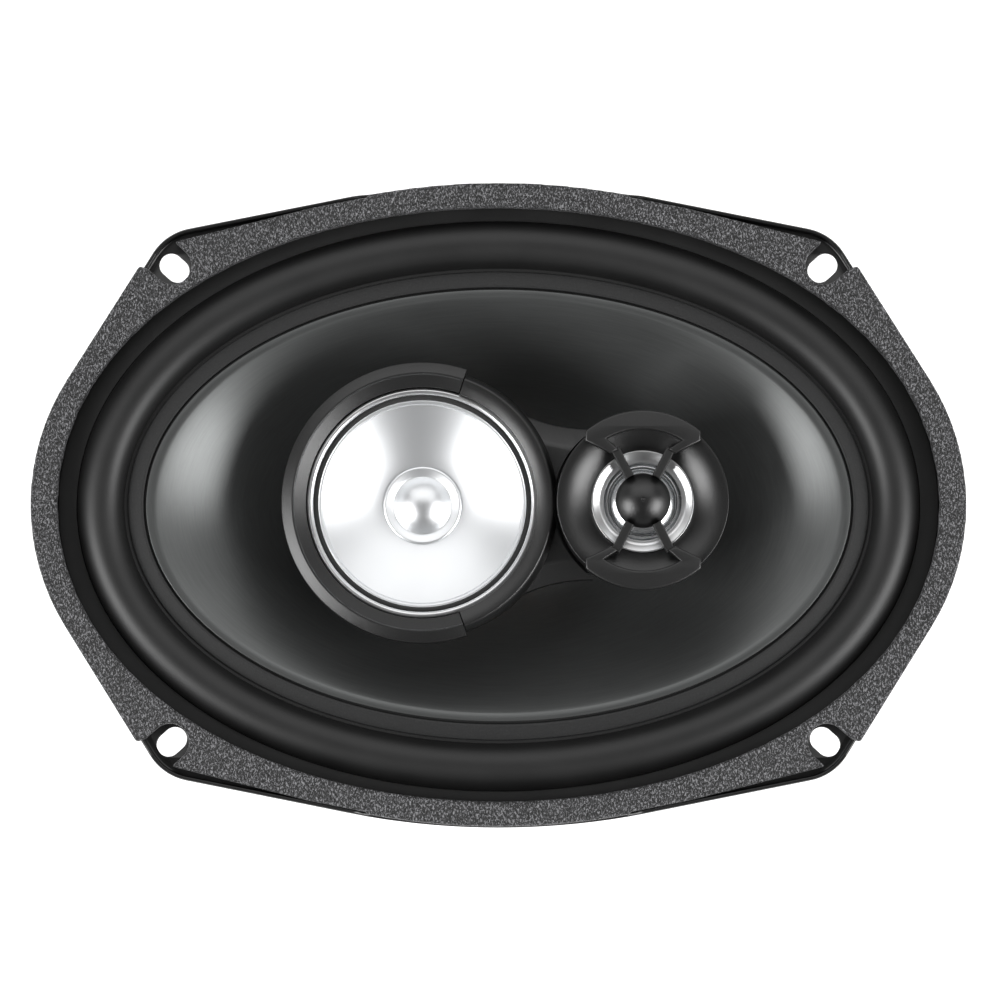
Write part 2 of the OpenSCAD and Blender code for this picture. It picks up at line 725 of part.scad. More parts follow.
module tweeter_trim_ring() {
    color("#e8eaec") at_tweeter() rotate_extrude() polygon([
        [9.8, tweeter_seat - 1], [10.2, tweeter_seat - 1], [10.2, tweeter_seat], [12.9, tweeter_seat + 1.6],
        [12.9, tweeter_seat + 2.2], [12.2, tweeter_seat + 2], [11.2, tweeter_seat + 1],
        [9.8, tweeter_seat + 0.5]]);
}

module tweeter_surround() {
    color("#d5d8db") at_tweeter() rotate_extrude() polygon(concat(
        [for (i = [0:6]) [8.95, 5.6] + polar(0.65, 180 - 30 * i)], [[9.75, 5.6], [9.75, 5.3], [9.3, 5.3]],
        [for (i = [0:6]) [8.95, 5.5] + polar(0.35, 30 * i)], [[8.3, 5.4]]));
}

module tweeter_dome() {
    base_r = 8.2;
    rise = 2.6;
    ball_r = (base_r * base_r + rise * rise) / (2 * rise);
    open = asin(base_r / ball_r);
    function shell(r) = [for (i = [0:8])
        [r * sin(open * i / 8), 5.4 + rise - ball_r + r * cos(open * i / 8)]];
    inner = shell(ball_r - 0.3);
    color("#d5d8db") at_tweeter() rotate_extrude() polygon(concat(
        shell(ball_r), [for (i = [8:-1:0]) inner[i]]));
}

module tweeter_voice_coil() { color("#b06a2a") at_tweeter() ring(7.6, 7.9, 0.4, 5); }
module tweeter_pole_plate() { color("#9a9da0") at_tweeter() cylinder_from(7.2, 1.4, 3.2); }
module tweeter_magnet() { color("#6d7073") at_tweeter() cylinder_from(6.8, -2.6, 1.4); }
module tweeter_yoke() {
    color("#9a9da0") at_tweeter() rotate_extrude() polygon([
        [0, -5], [9.2, -5], [10, -4.2], [10, 3.2], [8.3, 3.2], [8.3, -2.6], [0, -2.6]]);
}

basket();
front_gasket();
surround();
spider();
top_plate();
ring_magnet();
back_plate_and_pole();
basket_rivets();
centre_post();
woofer_cone();
voice_coil_former();
voice_coil_winding();
lead_anchors();
tinsel_leads();
terminal_board();
terminal_rivets();
positive_terminal();
negative_terminal();
midrange_capacitor();
tweeter_capacitor();
pod_lead();
pod_bracket();
bridge_cover();
bridge_screws();
midrange_bezel();
midrange_chassis();
midrange_trim_ring();
midrange_surround();
midrange_cone();
midrange_dust_cap();
midrange_voice_coil();
midrange_pole_plate();
midrange_magnet();
midrange_yoke();
tweeter_housing();
tweeter_grille();
tweeter_trim_ring();
tweeter_surround();
tweeter_dome();
tweeter_voice_coil();
tweeter_pole_plate();
tweeter_magnet();
tweeter_yoke();
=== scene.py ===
import math

import bmesh
import bpy
import numpy as np
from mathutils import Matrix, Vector
from mathutils.geometry import tessellate_polygon


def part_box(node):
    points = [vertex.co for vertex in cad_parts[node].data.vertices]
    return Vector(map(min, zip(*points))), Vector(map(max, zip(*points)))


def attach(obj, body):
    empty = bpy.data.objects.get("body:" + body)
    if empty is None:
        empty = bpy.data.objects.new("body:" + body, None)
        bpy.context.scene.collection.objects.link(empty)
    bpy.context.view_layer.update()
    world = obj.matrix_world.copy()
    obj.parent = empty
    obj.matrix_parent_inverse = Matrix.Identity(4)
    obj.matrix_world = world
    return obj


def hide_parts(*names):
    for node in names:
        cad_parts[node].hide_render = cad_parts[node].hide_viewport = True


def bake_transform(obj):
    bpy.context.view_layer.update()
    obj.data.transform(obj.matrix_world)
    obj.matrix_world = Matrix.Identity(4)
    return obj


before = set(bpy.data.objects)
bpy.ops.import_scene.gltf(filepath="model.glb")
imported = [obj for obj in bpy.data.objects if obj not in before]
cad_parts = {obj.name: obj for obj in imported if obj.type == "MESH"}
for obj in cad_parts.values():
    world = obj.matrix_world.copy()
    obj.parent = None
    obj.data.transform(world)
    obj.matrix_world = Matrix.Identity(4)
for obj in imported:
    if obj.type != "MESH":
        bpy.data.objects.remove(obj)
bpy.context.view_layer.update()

# Oval three-way coaxial car speaker. Shapes are worked out in millimetres and made in metres.
MM = 0.001
STEPS = 288  # points round an oval or a large circle
SHARP = 38  # edges that turn by more than this many degrees stay crisp

# ---- Sizes from the frame ----


def limits(node):
    low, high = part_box(node)
    return np.array(low) / MM, np.array(high) / MM


def middle(node):
    low, high = limits(node)
    return (low + high)[:2] / 2


CONE_A, CONE_B = limits("woofer_cone")[1][:2]
FLANGE_X, FLANGE_Y = limits("basket")[1][:2]
FLANGE_TOP = limits("front_gasket")[0][2]
(_, _, PLATE_BOTTOM), (PLATE_R, _, PLATE_TOP) = limits("top_plate")
(_, _, MAGNET_BOTTOM), (MAGNET_R, _, _) = limits("ring_magnet")
(_, _, BACK_Z), (BACK_R, _, POLE_TOP) = limits("back_plate_and_pole")
(_, _, FORMER_LOW), (FORMER_R, _, FORMER_HIGH) = limits("voice_coil_former")
COIL_LOW, COIL_HIGH = limits("voice_coil_winding")
BOARD_LOW, BOARD_HIGH = limits("terminal_board")
BOARD_Y = (BOARD_LOW[1] + BOARD_HIGH[1]) / 2
TERMINAL_X = 9.0
MID = middle("midrange_cone")
TWEETER = middle("tweeter_housing")
ORIGIN = np.zeros(2)

# Distances out from the cone's edge
LIP_W = 1.6
BAND_OUT = 4.8  # outer edge of the surround's flat inner band
ROLL_MID = 11.6
ROLL_R = 6.0
WALL_IN = 23.0  # inner face of the flange's step
SKIRT_IN = 16.0  # inner face of the basket's skirt

# Heights
LAND_Z = -3.0
EDGE_Z = -2.0  # underside of the cone's lip
NECK_Z = -38.0
SKIRT_Z = -15.0
SHELF_Z = -46.0
ROLL_BASE = -2.6
MID_SEAT = 2.5
MID_NECK = -4.0
TWEETER_RIM = 11.5
POST_TOP = -13

# Fixing slots
SLOT_X, SLOT_Y = 82.55, 60.325
SLOT_TURN = math.radians(42)
SLOT_R = 3.0
SLOT_HALF = 1.1  # from a slot's middle to the centre of its round end

TURNS = np.linspace(0, 2 * math.pi, STEPS, endpoint=False)

# ---- Points and rings ----


def lerp(a, b, s):
    return a + (b - a) * s


def smooth(x, start, end):
    s = np.clip((x - start) / (end - start), 0, 1)
    return s * s * (3 - 2 * s)


def polar(r, t):
    return np.stack([r * np.cos(t), r * np.sin(t)], -1)


def oval(t, d):
    """Points at turn t, a distance d outside the cone's edge."""
    across, along = CONE_B * np.cos(t), CONE_A * np.sin(t)
    size = np.hypot(across, along)
    return np.stack([CONE_A * np.cos(t) + d * across / size, CONE_B * np.sin(t) + d * along / size], -1)


def at_height(points, z):
    return np.column_stack([points, np.broadcast_to(z, len(points))])


def oval_ring(d, z):
    return at_height(oval(TURNS, d), z)


def round_ring(r, z, at=ORIGIN, turns=TURNS):
    return at_height(polar(r, turns) + at, z)


def rounded(points, closed=True, steps=5):
    """Corner points (x, y) or (x, y, radius), with an arc at each corner that has a radius."""
    out, count = [], len(points)
    for i, point in enumerate(points):
        here = np.array(point[:2], float)
        radius = point[2] if len(point) > 2 else 0
        if radius == 0 or (not closed and i in (0, count - 1)):
            out.append(here)
            continue
        before = np.array(points[i - 1][:2], float) - here
        after = np.array(points[(i + 1) % count][:2], float) - here
        reach_b, reach_a = np.linalg.norm(before), np.linalg.norm(after)
        before, after = before / reach_b, after / reach_a
        half = math.acos(np.clip(before @ after, -1, 1)) / 2
        if half > math.pi / 2 - 0.01:
            out.append(here)
            continue
        reach = min(radius / math.tan(half), 0.49 * reach_b, 0.49 * reach_a)
        radius = reach * math.tan(half)
        bisector = (before + after) / np.linalg.norm(before + after)
        hub = here + bisector * radius / math.sin(half)
        start, end = here + before * reach - hub, here + after * reach - hub
        sweep = math.pi - 2 * half
        for k in range(steps + 1):
            s = k / steps
            reached = math.sin((1 - s) * sweep) * start + math.sin(s * sweep) * end
            out.append(hub + reached / math.sin(sweep))
    return np.array(out)


def arc(at, r, start, end, steps):
    """Points on an arc, from start to end in degrees."""
    return np.array(at) + polar(r, np.radians(np.linspace(start, end, steps + 1)))


def corner_outline(reach_x, reach_y, end_r, side_r, end_turn, side_turn, corner_r):
    """Outline with round ends, long shallow sides and four blunt corners."""
    end_c, side_c = reach_x - end_r, reach_y - side_r
    e, s = math.radians(end_turn), math.radians(side_turn)
    end_dist = end_c * math.cos(e) + end_r - corner_r
    side_dist = side_c * math.sin(s) + side_r - corner_r
    corner = np.array([end_dist * math.sin(s) - side_dist * math.sin(e),
                       side_dist * math.cos(e) - end_dist * math.cos(s)]) / math.sin(s - e)
    quarter = np.concatenate([arc((end_c, 0), end_r, 0, end_turn, 28),
                              arc(corner, corner_r, end_turn, side_turn, 20),
                              arc((0, side_c), side_r, side_turn, 90, 28)])
    flip_x, flip_y = np.array([-1, 1]), np.array([1, -1])
    return np.concatenate([quarter, (quarter * flip_x)[-2::-1], -quarter[1:], (quarter * flip_y)[-2:0:-1]])


def flange_outline(inset):
    return corner_outline(FLANGE_X - inset, FLANGE_Y - inset, 58 - inset, 196 - inset, 32, 78.7, 14 - inset)


def capsule(centre, turn, half, r, steps=20):
    """Outline of a slot with round ends."""
    axis = np.array([math.cos(turn), math.sin(turn)])
    start = math.degrees(turn) - 90
    return np.concatenate([arc(centre + axis * half, r, start, start + 180, steps),
                           arc(centre - axis * half, r, start + 180, start + 360, steps)])


def moved_in(outline, inset):
    """A closed outline, anticlockwise, with each side moved in by the inset."""
    along = np.roll(outline, -1, 0) - outline
    along /= np.linalg.norm(along, axis=1)[:, None]
    normal = np.stack([-along[:, 1], along[:, 0]], -1)
    previous = np.roll(normal, 1, 0)
    mitre = (normal + previous) / (1 + np.sum(normal * previous, 1))[:, None]
    return outline + inset * mitre


def flipped(outline):
    """The outline's mirror image across X, run the other way round."""
    return (outline * (-1, 1))[::-1]


def dropped_repeats(outline):
    """An outline without the points that repeat the one before."""
    return outline[np.linalg.norm(outline - np.roll(outline, 1, 0), axis=1) > 1e-4]


def walked(path):
    """How far along a path each of its points is."""
    return np.concatenate([[0], np.cumsum(np.linalg.norm(np.diff(path, axis=0), axis=1))])


# ---- Shells: (points in millimetres, faces) ----


def skin(rings, loop=True, wrap=True):
    """Quads between rings of points. Each ring closes on itself if wrap, or else its two ends are capped;
    the last ring joins the first if loop."""
    rings = np.asarray(rings, float)
    count, size = rings.shape[:2]
    index = np.arange(count * size).reshape(count, size)
    rows = index if not loop else np.vstack([index, index[:1]])
    if wrap:
        rows = np.hstack([rows, rows[:, :1]])
    quads = np.stack([rows[:-1, :-1], rows[:-1, 1:], rows[1:, 1:], rows[1:, :-1]], -1).reshape(-1, 4)
    faces = quads.tolist()
    if not wrap:
        faces += [index[:, 0].tolist(), index[::-1, -1].tolist()]
    return rings.reshape(-1, 3), faces


def lathe(profile, at=ORIGIN, turn=None, steps=STEPS):
    """A closed profile of (radius, height) turned about an upright axis, or only over turn's degrees."""
    if turn is None:
        turns = np.linspace(0, 2 * math.pi, steps, endpoint=False)
    else:
        turns = np.radians(np.linspace(turn[0], turn[1], steps + 1))
    return skin([round_ring(r, z, at, turns) for r, z in profile], wrap=turn is None)


def oval_sweep(section):
    """A closed section of (distance outside the cone's edge, height) swept round the oval."""
    return skin([oval_ring(d, z) for d, z in section])


def flat_face(loops):
    """Triangles that fill the outline loops[0] and leave the other loops open."""
    points = [[Vector((p[0], p[1], 0)) for p in loop] for loop in loops]
    return [list(triangle) for triangle in tessellate_polygon(points)]


def stack(outer, holes=()):
    """A plate whose outline and holes are each a run of rings from its bottom to its top."""
    points, faces = [], []
    for rings in [outer, *holes]:
        shell = skin(rings, loop=False)
        faces += [[i + sum(map(len, points)) for i in face] for face in shell[1]]
        points.append(shell[0])
    starts = np.cumsum([0] + [len(p) for p in points])
    for end in (0, -1):
        loops = [np.asarray(rings[end]) for rings in [outer, *holes]]
        index = np.concatenate([
            starts[k] + (0 if end == 0 else len(points[k]) - len(loop)) + np.arange(len(loop))
            for k, loop in enumerate(loops)])
        faces += [[int(index[i]) for i in triangle] for triangle in flat_face(loops)]
    return np.concatenate(points), faces


def slab(outline, low, high, edge, holes=(), steps=3):
    """A plate of even thickness with rounded edges. The outline and the holes are anticlockwise."""
    quarter = np.radians(np.linspace(0, 90, steps + 1))
    inset = np.concatenate([edge * (1 - np.sin(quarter)), edge * (1 - np.cos(quarter))])
    height = np.concatenate([low + edge * (1 - np.cos(quarter)), high - edge * (1 - np.sin(quarter))])
    outer = [at_height(moved_in(outline, i), z) for i, z in zip(inset, height)]
    inner = [[at_height(moved_in(hole, -i), z) for i, z in zip(inset, height)] for hole in holes]
    return stack(outer, inner)


def box_outline(x_low, x_high, y_low, y_high, r, steps=5):
    corners = [(x_low, y_low, r), (x_high, y_low, r), (x_high, y_high, r), (x_low, y_high, r)]
    return rounded(corners, steps=steps)


def moved(shell, shift):
    return shell[0] + np.array(shift), shell[1]


def spun(shell, turn):
    """The shell turned about the vertical axis, in degrees."""
    c, s = math.cos(math.radians(turn)), math.sin(math.radians(turn))
    return shell[0] @ np.array([[c, s, 0], [-s, c, 0], [0, 0, 1]]), shell[1]


def laid_along_x(shell):
    """A shell made about the vertical axis, laid down so that its axis runs along X."""
    return shell[0][:, [2, 1, 0]] * np.array([1, 1, -1]), shell[1]


def joined(*shells):
    points, faces, start = [], [], 0
    for shell in shells:
        points.append(shell[0])
        faces += [[i + start for i in face] for face in shell[1]]
        start += len(shell[0])
    return np.concatenate(points), faces


def tube(path, radius, sides=16, lobes=0, twist=0.0, relief=0.0):
    """A tube along a path, with flat ends. Lobes that wind round it give it strands."""
    path = np.asarray(path, float)
    ahead = np.gradient(path, axis=0)
    ahead /= np.linalg.norm(ahead, axis=1)[:, None]
    side = np.cross(ahead, (1, 0.01, 0.02))
    side /= np.linalg.norm(side, axis=1)[:, None]
    up = np.cross(ahead, side)
    turns = np.linspace(0, 2 * math.pi, sides, endpoint=False)
    rings = []
    for point, u, v, way in zip(path, side, up, walked(path)):
        r = radius + relief * np.cos(lobes * (turns + twist * way))
        rings.append(point + r[:, None] * (np.cos(turns)[:, None] * u + np.sin(turns)[:, None] * v))
    count = len(rings)
    points, faces = skin(rings, loop=False)
    return points, faces + [list(range(sides))[::-1], [(count - 1) * sides + i for i in range(sides)]]


def smooth_path(route, steps):
    """Points along a curve that rounds the route's corners."""
    route = np.array(route, float)
    out = [route[0]]
    for i in range(1, len(route) - 1):
        start = route[0] if i == 1 else (route[i - 1] + route[i]) / 2
        end = route[-1] if i == len(route) - 2 else (route[i] + route[i + 1]) / 2
        for k in range(1, steps + 1):
            s = k / steps
            out.append((1 - s) ** 2 * start + 2 * s * (1 - s) * route[i] + s * s * end)
    return np.array(out)


def raw_object(name, shell):
    mesh = bpy.data.meshes.new(name)
    mesh.from_pydata(shell[0].tolist(), [], shell[1])
    bm = bmesh.new()
    bm.from_mesh(mesh)
    bmesh.ops.remove_doubles(bm, verts=bm.verts, dist=0.0008)
    bmesh.ops.dissolve_degenerate(bm, edges=bm.edges, dist=0.0004)
    bmesh.ops.recalc_face_normals(bm, faces=bm.faces)
    bm.to_mesh(mesh)
    bm.free()
    obj = bpy.data.objects.new(name, mesh)
    bpy.context.scene.collection.objects.link(obj)
    return obj


def taken(obj):
    """The shell that an object's modifiers make of it; the object goes."""
    depsgraph = bpy.context.evaluated_depsgraph_get()
    mesh = bpy.data.meshes.new_from_object(obj.evaluated_get(depsgraph))
    points = np.zeros(len(mesh.vertices) * 3)
    mesh.vertices.foreach_get("co", points)
    faces = [list(polygon.vertices) for polygon in mesh.polygons]
    bpy.data.meshes.remove(mesh)
    bpy.data.objects.remove(obj)
    return points.reshape(-1, 3), faces


def carved(shell, tool, operation="DIFFERENCE"):
    """One shell with another taken away, added or kept in common."""
    body, cutter = raw_object("carved", shell), raw_object("cutter", tool)
    modifier = body.modifiers.new("carve", "BOOLEAN")
    modifier.operation = operation
    modifier.object = cutter
    modifier.solver = "MANIFOLD"
    result = taken(body)
    bpy.data.objects.remove(cutter)
    return result


def remeshed(shell, voxel, passes, factor=0.5):
    """A shell rebuilt as small even quads and smoothed, which rounds its edges."""
    obj = raw_object("remeshed", shell)
    remesh = obj.modifiers.new("remesh", "REMESH")
    remesh.mode = "VOXEL"
    remesh.voxel_size = voxel
    if passes:
        relax = obj.modifiers.new("relax", "SMOOTH")
        relax.factor = factor
        relax.iterations = passes
    return taken(obj)


def piece(name, shell, material, node=None, body="frame", sharp=SHARP):
    """A finished piece: the shell in metres, its material, the CAD node that it replaces and its body."""
    obj = raw_object(name, shell)
    obj.data.transform(((MM, 0, 0, 0), (0, MM, 0, 0), (0, 0, MM, 0), (0, 0, 0, 1)))
    obj.data.shade_smooth()
    obj.data.set_sharp_from_angle(angle=math.radians(sharp))
    obj.data.materials.append(material)
    if body:
        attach(obj, body)
    if node:
        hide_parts(node)
    return obj


def hold_between(obj):
    """A piece with its placement baked into its mesh."""
    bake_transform(obj)


def points_of(obj):
    points = np.zeros(len(obj.data.vertices) * 3)
    obj.data.vertices.foreach_get("co", points)
    return points.reshape(-1, 3) / MM


def flexing_ring(obj, at):
    """A ring with its placement baked into its mesh; its distances from at are worked out but not used."""
    out = np.hypot(*(points_of(obj)[:, :2] - at).T)
    hold_between(obj)


# ---- Materials ----


def look(name, colour, rough, metallic=0.0, **sockets):
    """A new material and its node tree, with the values that its shader starts from."""
    material = bpy.data.materials.new(name)
    material.use_nodes = True
    shader = material.node_tree.nodes["Principled BSDF"]
    shader.inputs["Base Color"].default_value = (*colour, 1)
    shader.inputs["Roughness"].default_value = rough
    shader.inputs["Metallic"].default_value = metallic
    for key, value in sockets.items():
        shader.inputs[key.replace("_", " ")].default_value = value
    return material, material.node_tree


def set_or_link(tree, socket, value):
    if isinstance(value, bpy.types.NodeSocket):
        tree.links.new(value, socket)
    else:
        socket.default_value = value


def add(tree, kind, **inputs):
    """A shader node, with its inputs set to values or linked to sockets."""
    node = tree.nodes.new("ShaderNode" + kind)
    for key, value in inputs.items():
        set_or_link(tree, node.inputs[key.replace("_", " ")], value)
    return node


def maths(tree, operation, a, b=0.0):
    node = tree.nodes.new("ShaderNodeMath")
    node.operation = operation
    for socket, value in zip(node.inputs, (a, b)):
        set_or_link(tree, socket, value)
    return node.outputs[0]


def place(tree, scale=None, turn=0.0):
    """The point's place in its piece's own frame, in metres, scaled and turned by degrees about Z."""
    where = add(tree, "TexCoord").outputs["Object"]
    if scale is None:
        return where
    mapping = add(tree, "Mapping", Vector=where, Scale=scale, Rotation=(0, 0, math.radians(turn)))
    return mapping.outputs[0]


def grain(tree, vector, size, detail=2.0, coarse=0.5, distortion=0.0):
    """Noise whose grains are about this many millimetres across."""
    node = add(tree, "TexNoise", Vector=vector, Scale=1 / (size * MM), Detail=detail, Roughness=coarse,
               Distortion=distortion)
    return node.outputs["Fac"]


def ramp(tree, value, *stops):
    """Colours at positions along a value."""
    node = add(tree, "ValToRGB", Fac=value)
    elements = node.color_ramp.elements
    while len(elements) < len(stops):
        elements.new(0.5)
    for element, (position, colour) in zip(elements, stops):
        element.position = position
        element.color = (*colour, 1) if isinstance(colour, tuple) else (colour, colour, colour, 1)
    return node.outputs["Color"]


def span(tree, value, low, high):
    """A value from 0 to 1 turned into one from low to high."""
    return add(tree, "MapRange", Value=value, To_Min=low, To_Max=high).outputs["Result"]


def dressed(material, colour=None, rough=None, bumps=None, depth=0.0):
    """The material with a colour, a roughness and bumps of this depth in millimetres linked to its shader."""
    tree = material.node_tree
    shader = tree.nodes["Principled BSDF"]
    if bumps is not None:
        bumps = add(tree, "Bump", Height=bumps, Distance=depth * MM).outputs[0]
    for socket, value in (("Base Color", colour), ("Roughness", rough), ("Normal", bumps)):
        if value is not None:
            tree.links.new(value, shader.inputs[socket])
    return material


def grained(name, colour, rough, size, detail, stops=None, roughs=None, depth=None, coarse=0.5, scale=None,
            metallic=0.0, **sockets):
    """A material whose colours, roughness and bumps all follow one noise, with grains of this size."""
    material, tree = look(name, colour, rough, metallic, **sockets)
    noise = grain(tree, place(tree, scale), size, detail, coarse)
    return dressed(material, stops and ramp(tree, noise, *stops), roughs and span(tree, noise, *roughs),
                   noise if depth else None, depth)


def cylinder_place(tree, at=ORIGIN, stretch=(1, 1)):
    """(distance from an upright axis, turn round it, height), in metres and radians."""
    parts = add(tree, "SeparateXYZ", Vector=place(tree)).outputs
    x = maths(tree, "MULTIPLY", maths(tree, "SUBTRACT", parts[0], at[0] * MM), stretch[0])
    y = maths(tree, "MULTIPLY", maths(tree, "SUBTRACT", parts[1], at[1] * MM), stretch[1])
    r = maths(tree, "SQRT", maths(tree, "ADD", maths(tree, "MULTIPLY", x, x), maths(tree, "MULTIPLY", y, y)))
    return r, maths(tree, "ARCTAN2", y, x), parts[2]


def turned_place(tree, at=ORIGIN, stretch=(1, 1), along=0.004):
    """A place for textures that run round an axis: lengths across, and a shorter way along the turn."""
    r, turn, height = cylinder_place(tree, at, stretch)
    return add(tree, "CombineXYZ", X=r, Y=maths(tree, "MULTIPLY", turn, along), Z=height).outputs[0]


def painted_steel():
    """Black electro-coated steel, glossy, with a faint orange peel."""
    material, tree = look("painted_steel", (0.011, 0.011, 0.012), 0.3, Coat_Weight=0.25, Coat_Roughness=0.18)
    where = place(tree)
    peel = grain(tree, where, 1.6, 3)
    colour = ramp(tree, grain(tree, where, 9, 4), (0.3, 0.005), (0.75, 0.009))
    return dressed(material, colour, span(tree, peel, 0.22, 0.4), peel, 0.02)


def crepe():
    """Foamed gasket with a coarse crepe skin of short ridges, with a painted highlight on their crests and
    painted shade in their hollows.
    """
    material, tree = look("crepe", (0.06, 0.06, 0.062), 0.62, Sheen_Weight=0.05, Sheen_Roughness=0.5)
    ridges = grain(tree, place(tree, (1.0, 0.55, 1.0), 38), 0.38, 2, 0.55, 0.6)
    fine = grain(tree, place(tree), 0.25, 1, 0.6)
    height = maths(tree, "ADD", maths(tree, "MULTIPLY", ridges, 1.0), maths(tree, "MULTIPLY", fine, 0.4))
    hollow, flank, crest_painted_highlight = 0.0015, (0.011, 0.011, 0.0122), (0.23, 0.23, 0.24)
    # Colour by height: painted shade in the hollows, a painted highlight on the crests.
    colour = ramp(tree, height, (0.6, hollow), (0.71, flank), (0.86, crest_painted_highlight))
    return dressed(material, colour, span(tree, ridges, 0.6, 0.34), height, 0.5)


def rubber():
    """Butyl rubber with a dull bloom and a fine moulded grain."""
    material, tree = look("rubber", (0.006, 0.006, 0.006), 0.4, Specular_IOR_Level=0.6)
    where = place(tree)
    bloom = grain(tree, where, 14, 4, 0.55)
    colour = ramp(tree, bloom, (0.3, 0.004), (0.8, 0.007))
    return dressed(material, colour, span(tree, bloom, 0.43, 0.51), grain(tree, where, 0.3, 2), 0.02)


def cone_plastic():
    """Dark grey polypropylene with fine metallic streaks that run round the cone."""
    material, tree = look("cone_plastic", (0.13, 0.134, 0.133), 0.37, 0.82, Specular_IOR_Level=0.4)
    streak = grain(tree, turned_place(tree, stretch=(1, CONE_A / CONE_B), along=0.003), 0.5, 4, 0.7)
    cloud = grain(tree, place(tree), 16, 2)
    mixed = maths(tree, "ADD", maths(tree, "MULTIPLY", streak, 0.75), maths(tree, "MULTIPLY", cloud, 0.25))
    colour = ramp(tree, mixed, (0.3, (0.12, 0.124, 0.123)), (0.7, (0.148, 0.153, 0.152)))
    return dressed(material, colour, span(tree, streak, 0.35, 0.39), streak, 0.004)


def damper_cloth():
    """Resin-stiffened cloth: a plain weave that runs round and across the axis."""
    pale, thread, spokes = (0.72, 0.52, 0.2), 0.9, 60
    material, tree = look("spider_cloth", pale, 0.8)
    r, turn, _ = cylinder_place(tree)
    ring = maths(tree, "SINE", maths(tree, "MULTIPLY", r, math.tau / (thread * MM)))
    spoke = maths(tree, "SINE", maths(tree, "MULTIPLY", turn, math.tau * spokes))
    weave = span(tree, maths(tree, "MULTIPLY", ring, spoke), 0.5, 1.0)
    return dressed(material, ramp(tree, weave, (0.3, (0.36, 0.24, 0.07)), (0.9, pale)), None, weave, 0.08)


def plated_steel(name="plated_steel", colour=(0.62, 0.63, 0.64), at=ORIGIN, rough=0.3):
    """Plated steel with faint turning marks and a cloudy plating."""
    material, tree = look(name, colour, rough, 0.95)
    marks = grain(tree, turned_place(tree, at, along=0.002), 0.25, 3, 0.6)
    cloud = grain(tree, place(tree), 7, 3)
    dull = tuple(c * 0.72 for c in colour)
    return dressed(material, ramp(tree, cloud, (0.3, dull), (0.7, colour)),
                   span(tree, cloud, rough + 0.1, rough - 0.06), marks, 0.012)


def silver_satin(name, at, rough=0.37):
    """Aluminised cone with a satin sheen and hardly visible turning marks."""
    material, tree = look(name, (0.86, 0.88, 0.9), rough, 1.0)
    marks = grain(tree, turned_place(tree, at, along=0.003), 0.22, 3, 0.6)
    haze = grain(tree, place(tree), 12, 1)
    colour = ramp(tree, haze, (0.3, (0.92, 0.935, 0.95)), (0.7, (0.95, 0.965, 0.98)))
    return dressed(material, colour, span(tree, marks, rough - 0.02, rough + 0.02), marks, 0.0015)


def sleeve(name, colour):
    """Heat-shrunk plastic sleeve."""
    deep = tuple(c * 0.6 for c in colour)
    return grained(name, colour, 0.3, 1.8, 3, [(0.3, deep), (0.7, colour)], depth=0.03, scale=(0.4, 1, 1),
                   Coat_Weight=0.35, Coat_Roughness=0.15)


def spark_plastic(name="spark_plastic", shade=0.006, rough=0.32, depth=0.045, size=0.28):
    """Moulded black plastic with a fine spark-eroded grain."""
    return grained(name, (shade,) * 3, rough, size, 3, [(0.35, shade * 0.6), (0.75, shade * 1.7)],
                   (rough + 0.1, rough - 0.1), depth, 0.7, Specular_IOR_Level=0.75)


def pale_floor():
    """Matt pale studio floor that glows a little."""
    return grained("studio_floor", (0.9, 0.9, 0.9), 0.9, 40, 3, [(0.3, 0.88), (0.7, 0.91)],
                   Emission_Strength=0.5, Emission_Color=(1, 1, 1, 1))


STEEL = painted_steel()
CREPE = crepe()
RUBBER = rubber()
# The surround's flat inner band, matt and greyer than the roll
BAND = grained("rubber_band", (0.02,) * 3, 0.5, 0.45, 3,
               [(0.28, 0.006), (0.6, (0.012, 0.0122, 0.0124)), (0.8, 0.026)], depth=0.04, coarse=0.65)
CONE = cone_plastic()
CLOTH = damper_cloth()
PLATED = plated_steel()
# Sintered ferrite: dark, dry and slightly pitted
FERRITE = grained("ferrite_ceramic", (0.035, 0.036, 0.038), 0.62, 0.8, 5,
                  [(0.3, 0.022), (0.7, (0.048, 0.05, 0.053))], (0.5, 0.75), 0.06, 0.65)
# Amber polyimide film of the voice coil's former
FILM = grained("amber_film", (0.42, 0.17, 0.04), 0.25, 3, 3,
               [(0.3, (0.3, 0.11, 0.025)), (0.7, (0.5, 0.22, 0.06))], depth=0.01,
               Coat_Weight=0.5, Coat_Roughness=0.1)
COPPER = grained("enamelled_copper", (0.55, 0.22, 0.09), 0.3, 1.2, 3,
                 [(0.3, (0.42, 0.15, 0.06)), (0.7, (0.66, 0.29, 0.13))], metallic=0.85, Coat_Weight=0.4)
GLUE = grained("set_glue", (0.012,) * 3, 0.25, 0.9, 3, roughs=(0.15, 0.4), depth=0.08, Coat_Weight=0.5)
# Tinned copper braid of the flexible leads
BRAID = grained("tinned_braid", (0.6, 0.44, 0.26), 0.38, 0.25, 2,
                [(0.3, (0.34, 0.2, 0.1)), (0.7, (0.72, 0.58, 0.4))], depth=0.05, scale=(1, 1, 0.4),
                metallic=0.9)
